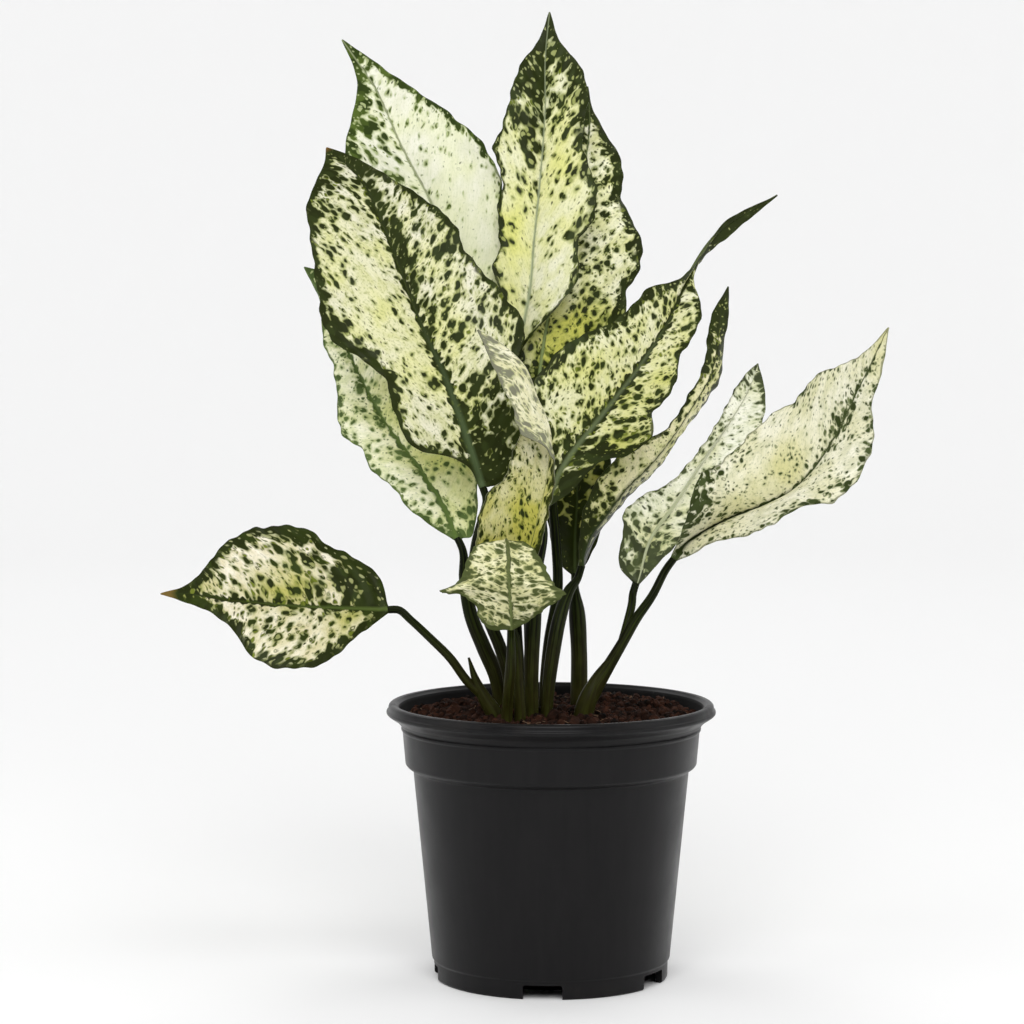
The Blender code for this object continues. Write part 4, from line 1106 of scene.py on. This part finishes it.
def crumbGroup():
    # Blocks with nine points to a side, drawn half way to balls, spun, flattened and jagged at random
    tree, add, given = newGroup("scattered_crumbs", {
        "Spacing": "Float", "Size": "Float", "Seed": "Int", "Crumb skin": "Material"})
    spots = add("GeometryNodeDistributePointsOnFaces", {
        "Mesh": given["Geometry"], "Distance Min": given["Spacing"], "Density Max": 900000,
        "Seed": given["Seed"]}, distribute_method="POISSON")
    block = add("GeometryNodeMeshCube", ((1, 1, 1), 3, 3, 3))
    spot = add("GeometryNodeInputPosition")
    ball = add("VectorMath", (spot,), operation="NORMALIZE")
    half = add("VectorMath", (ball, spot), operation="ADD")
    crumb = add("GeometryNodeSetPosition", {"Geometry": block, "Position": half})
    spin = add("FunctionNodeRandomValue", {"Min": (0, 0, 0), "Max": (6.3, 6.3, 6.3), "Seed": given["Seed"]},
               data_type="FLOAT_VECTOR")
    power = add("FunctionNodeRandomValue", {"Min": 0, "Max": 1, "Seed": 7})
    cubed = add("Math", (power, 3), operation="POWER")
    share = add("MapRange", (cubed, 0, 1, 0.35, 1.5))
    size = add("Math", (share, given["Size"]), operation="MULTIPLY")
    flat = add("FunctionNodeRandomValue", {"Min": (0.6, 0.6, 0.35), "Max": (1.3, 1.0, 0.8), "Seed": 11},
               data_type="FLOAT_VECTOR")
    scale = add("VectorMath", (flat, size), operation="SCALE")
    laid = add("GeometryNodeInstanceOnPoints", {
        "Points": spots, "Instance": crumb, "Rotation": spin, "Scale": scale})
    tint = add("FunctionNodeRandomValue", {"Min": 0, "Max": 1, "Seed": 23})
    marked = add("GeometryNodeStoreNamedAttribute", {"Geometry": laid, "Name": "tint", "Value": tint},
                 domain="INSTANCE")
    whole = add("GeometryNodeRealizeInstances", (marked,))
    jag = add("TexNoise", {"Scale": 900, "Detail": 1}, "Color")  # notches about 1 mm long
    centred = add("VectorMath", (jag, (-0.5, -0.5, -0.5)), operation="ADD")
    shift = add("VectorMath", (centred, soilSizes["bitJag"] * mm), operation="SCALE")
    rough = add("GeometryNodeSetPosition", {"Geometry": whole, "Offset": shift})
    finishGroup(add, rough, given["Crumb skin"])
    return tree


def fibreGroup():
    # Short lines laid nearly flat, curled by a soft noise and swept as thin strands
    tree, add, given = newGroup("loose_fibres", {
        "Count": "Int", "Length": "Float", "Seed": "Int", "Fibre skin": "Material"})
    area = math.pi * (potSizes["mouthRadius"] * mm) ** 2
    density = add("Math", (given["Count"], area), operation="DIVIDE")
    spots = add("GeometryNodeDistributePointsOnFaces", {
        "Mesh": given["Geometry"], "Density": density, "Seed": given["Seed"]})
    line = add("GeometryNodeCurvePrimitiveLine", {"Start": (-0.5, 0, 0), "End": (0.5, 0, 0)})
    bent = add("GeometryNodeResampleCurve", {"Curve": line, "Count": 6})
    spin = add("FunctionNodeRandomValue", {"Min": (-0.25, -0.25, 0), "Max": (0.25, 0.25, 6.3),
                                           "Seed": given["Seed"]}, data_type="FLOAT_VECTOR")
    share = add("FunctionNodeRandomValue", {"Min": 0.4, "Max": 1.3, "Seed": 5})
    size = add("Math", (share, given["Length"]), operation="MULTIPLY")
    laid = add("GeometryNodeInstanceOnPoints", {
        "Points": spots, "Instance": bent, "Rotation": spin, "Scale": size})
    whole = add("GeometryNodeRealizeInstances", (laid,))
    curl = add("TexNoise", {"Scale": 170, "Detail": 1}, "Color")  # bends about 6 mm long
    centred = add("VectorMath", (curl, (-0.5, -0.5, -0.44)), operation="ADD")
    shift = add("VectorMath", (centred, soilSizes["fibreCurl"] * mm), operation="SCALE")
    curled = add("GeometryNodeSetPosition", {"Geometry": whole, "Offset": shift})
    around = add("GeometryNodeCurvePrimitiveCircle", {
        "Resolution": 4, "Radius": soilSizes["fibreRadius"] * mm})
    strand = add("GeometryNodeCurveToMesh", {"Curve": curled, "Profile Curve": around, "Fill Caps": True})
    finishGroup(add, strand, given["Fibre skin"])
    return tree


def scatter(name, tree, values, skin):
    # Loose bits on a copy of the soil's surface
    spokes, rings = soilSizes["bitSpokes"], soilSizes["bitRings"]
    reach = (potSizes["mouthRadius"] - soilSizes["bitEdge"]) * np.arange(1, rings + 1) / rings
    points = np.concatenate([[(0, 0, 0)], ringPoints([(r, 0) for r in reach], spokes)])
    points[:, 2] = soilHeight(points[:, 0], points[:, 1])
    points[1:, 2] += soilSizes["bitLift"]
    faces = fanFaces(1, spokes, 0) + ringFaces(rings, spokes, 1)
    bits = meshObject(name, points, faces, skin)
    applyGroup(bits, tree, values)
    bits.data.polygons.foreach_set("use_smooth", [False] * len(bits.data.polygons))
    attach(bits, "root")
    print(name, "faces:", len(bits.data.polygons))


mixSkin, fibreSkin = pottingMix(), dryFibre()
makeSoil(mixSkin)
scatter("soil_crumbs", crumbGroup(), {
    "Spacing": soilSizes["bitSpacing"] * mm, "Size": soilSizes["bitSize"] * mm,
    "Seed": soilSizes["bitSeed"], "Crumb skin": mixSkin}, mixSkin)
scatter("soil_fibres", fibreGroup(), {
    "Count": soilSizes["fibres"], "Length": soilSizes["fibreLength"] * mm,
    "Seed": soilSizes["fibreSeed"], "Fibre skin": fibreSkin}, fibreSkin)
print("soil ready")


# Stalks: round, a little thicker at the foot, each swept along its own path. They pale from the first
# height to the second
stalkSizes = {
    "sides": 28,
    "points": 60,
    "holeFloor": 104.0,
    "dark": "#060802",
    "green": "#2C3610",
    "pale": "#4A451C",
    "paling": (175, 128),
}


def greenStalk():
    # Living leaf stalk: firm smooth skin with long faint ribs, dark green and paler near the soil in
    # clouds about 17 mm across
    skin, add, shader = newMaterial("living_stalk_green")
    along = add("Attribute", give="Fac", attribute_name="alongStalk")
    around = add("Attribute", give="Fac", attribute_name="roundStalk")
    coords = add("TexCoord", give="Object")
    height = add("SeparateXYZ", (coords,), give="Z")
    turn = add("Math", (around, 2 * math.pi), operation="MULTIPLY")
    wide = add("Math", (turn,), operation="COSINE")
    deep = add("Math", (turn,), operation="SINE")
    length = add("Math", (along, 14), operation="MULTIPLY")
    flow = add("CombineXYZ", (wide, deep, length))
    ribs = add("TexNoise", {"Vector": flow, "Scale": 3.2, "Detail": 3, "Roughness": 0.6})
    clouds = add("TexNoise", {"Vector": coords, "Scale": 60, "Detail": 3})
    ribbed = add("MapRange", (ribs, 0.42, 0.7, 0, 1))
    start, end = stalkSizes["paling"]
    low = add("MapRange", (height, start * mm, end * mm, 0, 0.55), interpolation_type="SMOOTHSTEP")
    paling = add("Math", (low, clouds), operation="MULTIPLY")
    colour = stalkSizes["dark"]
    for share, above in ((ribbed, "green"), (paling, "pale")):
        colour = add("Mix", (share, colour, stalkSizes[above]), data_type="RGBA")
    rough = add("MapRange", (clouds, 0.3, 0.7, 0.34, 0.5))
    bump = add("Bump", {"Strength": 0.3, "Distance": 0.0003, "Height": ribs})
    fillSockets(shader, {"Base Color": colour, "Roughness": rough, "Specular IOR Level": 0.07,
                         "Normal": bump})
    return skin


def sweepGroup():
    # Sweeps a circle along each path, as thick as the path's own points say
    tree, add, given = newGroup("swept_stalk", {"Sides": "Int", "Skin": "Material"})
    path = add("GeometryNodeMeshToCurve", {"Mesh": given["Geometry"]})
    thick = add("GeometryNodeInputNamedAttribute", {"Name": "thick"})
    ring = add("GeometryNodeCurvePrimitiveCircle", {"Resolution": given["Sides"], "Radius": 1})
    marked = []
    for curve, label, measure in ((path, "alongStalk", "Length"), (ring, "roundStalk", "Factor")):
        value = add("GeometryNodeSplineParameter", give=measure)
        marked.append(add("GeometryNodeStoreNamedAttribute", {
            "Geometry": curve, "Name": label, "Value": value}))
    body = add("GeometryNodeCurveToMesh", {
        "Curve": marked[0], "Profile Curve": marked[1], "Scale": thick, "Fill Caps": True})
    finishGroup(add, body, given["Skin"])
    return tree


def stalkPlaces(name):
    # The stalk's places from the soil up. It runs just into its blade's foot
    foot, beyond = bladeCurves(leaves[name])[0][:2]
    heading = unit(foot - beyond)
    width = bladeSizes["footWidth"]
    return stalks[name] + [(*(foot + 5 * heading), width + 0.1), (*(foot - 0.5 * heading), width)]


def makeStalk(name, tree, skin):
    runs = []
    for places, lift in ((stalkPlaces(name), 0.3), (sheaths.get(name), 0.7)):
        if places:
            x, y, _, radius = places[0]
            floor = stalkSizes["holeFloor"] + lift
            runs.append([(x, y, floor, radius), (x, y, stalkSizes["holeFloor"] + 10.3, radius)] + places)
    runs += [stalkPlaces(other) for other, carrier in branches.items() if carrier == name]
    points, edges = np.zeros((0, 4)), []
    for run in runs:
        first = len(points)
        points = np.concatenate([points, curveThrough(run, np.linspace(0, 1, stalkSizes["points"]))])
        edges += [(i, i + 1) for i in range(first, len(points) - 1)]
    mesh = bpy.data.meshes.new("stalk_path_" + name)
    mesh.from_pydata((points[:, :3] * mm).tolist(), edges, [])
    mesh.attributes.new("thick", "FLOAT", "POINT").data.foreach_set("value", points[:, 3] * mm)
    stalk = place(bpy.data.objects.new("leaf_stalk_" + name, mesh))
    applyGroup(stalk, tree, {"Sides": stalkSizes["sides"], "Skin": skin})
    stalk.data.polygons.foreach_set("use_smooth", [True] * len(stalk.data.polygons))
    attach(stalk, "root")
    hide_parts("stalk_" + name)


stalkTree, stalkSkin = sweepGroup(), greenStalk()
for stalkName in leaves:
    if stalkName not in branches:
        makeStalk(stalkName, stalkTree, stalkSkin)
print("stalks ready")

for leafName, wholeLeaf in leaves.items():
    makeBlade(leafName, wholeLeaf)
print("blades ready")
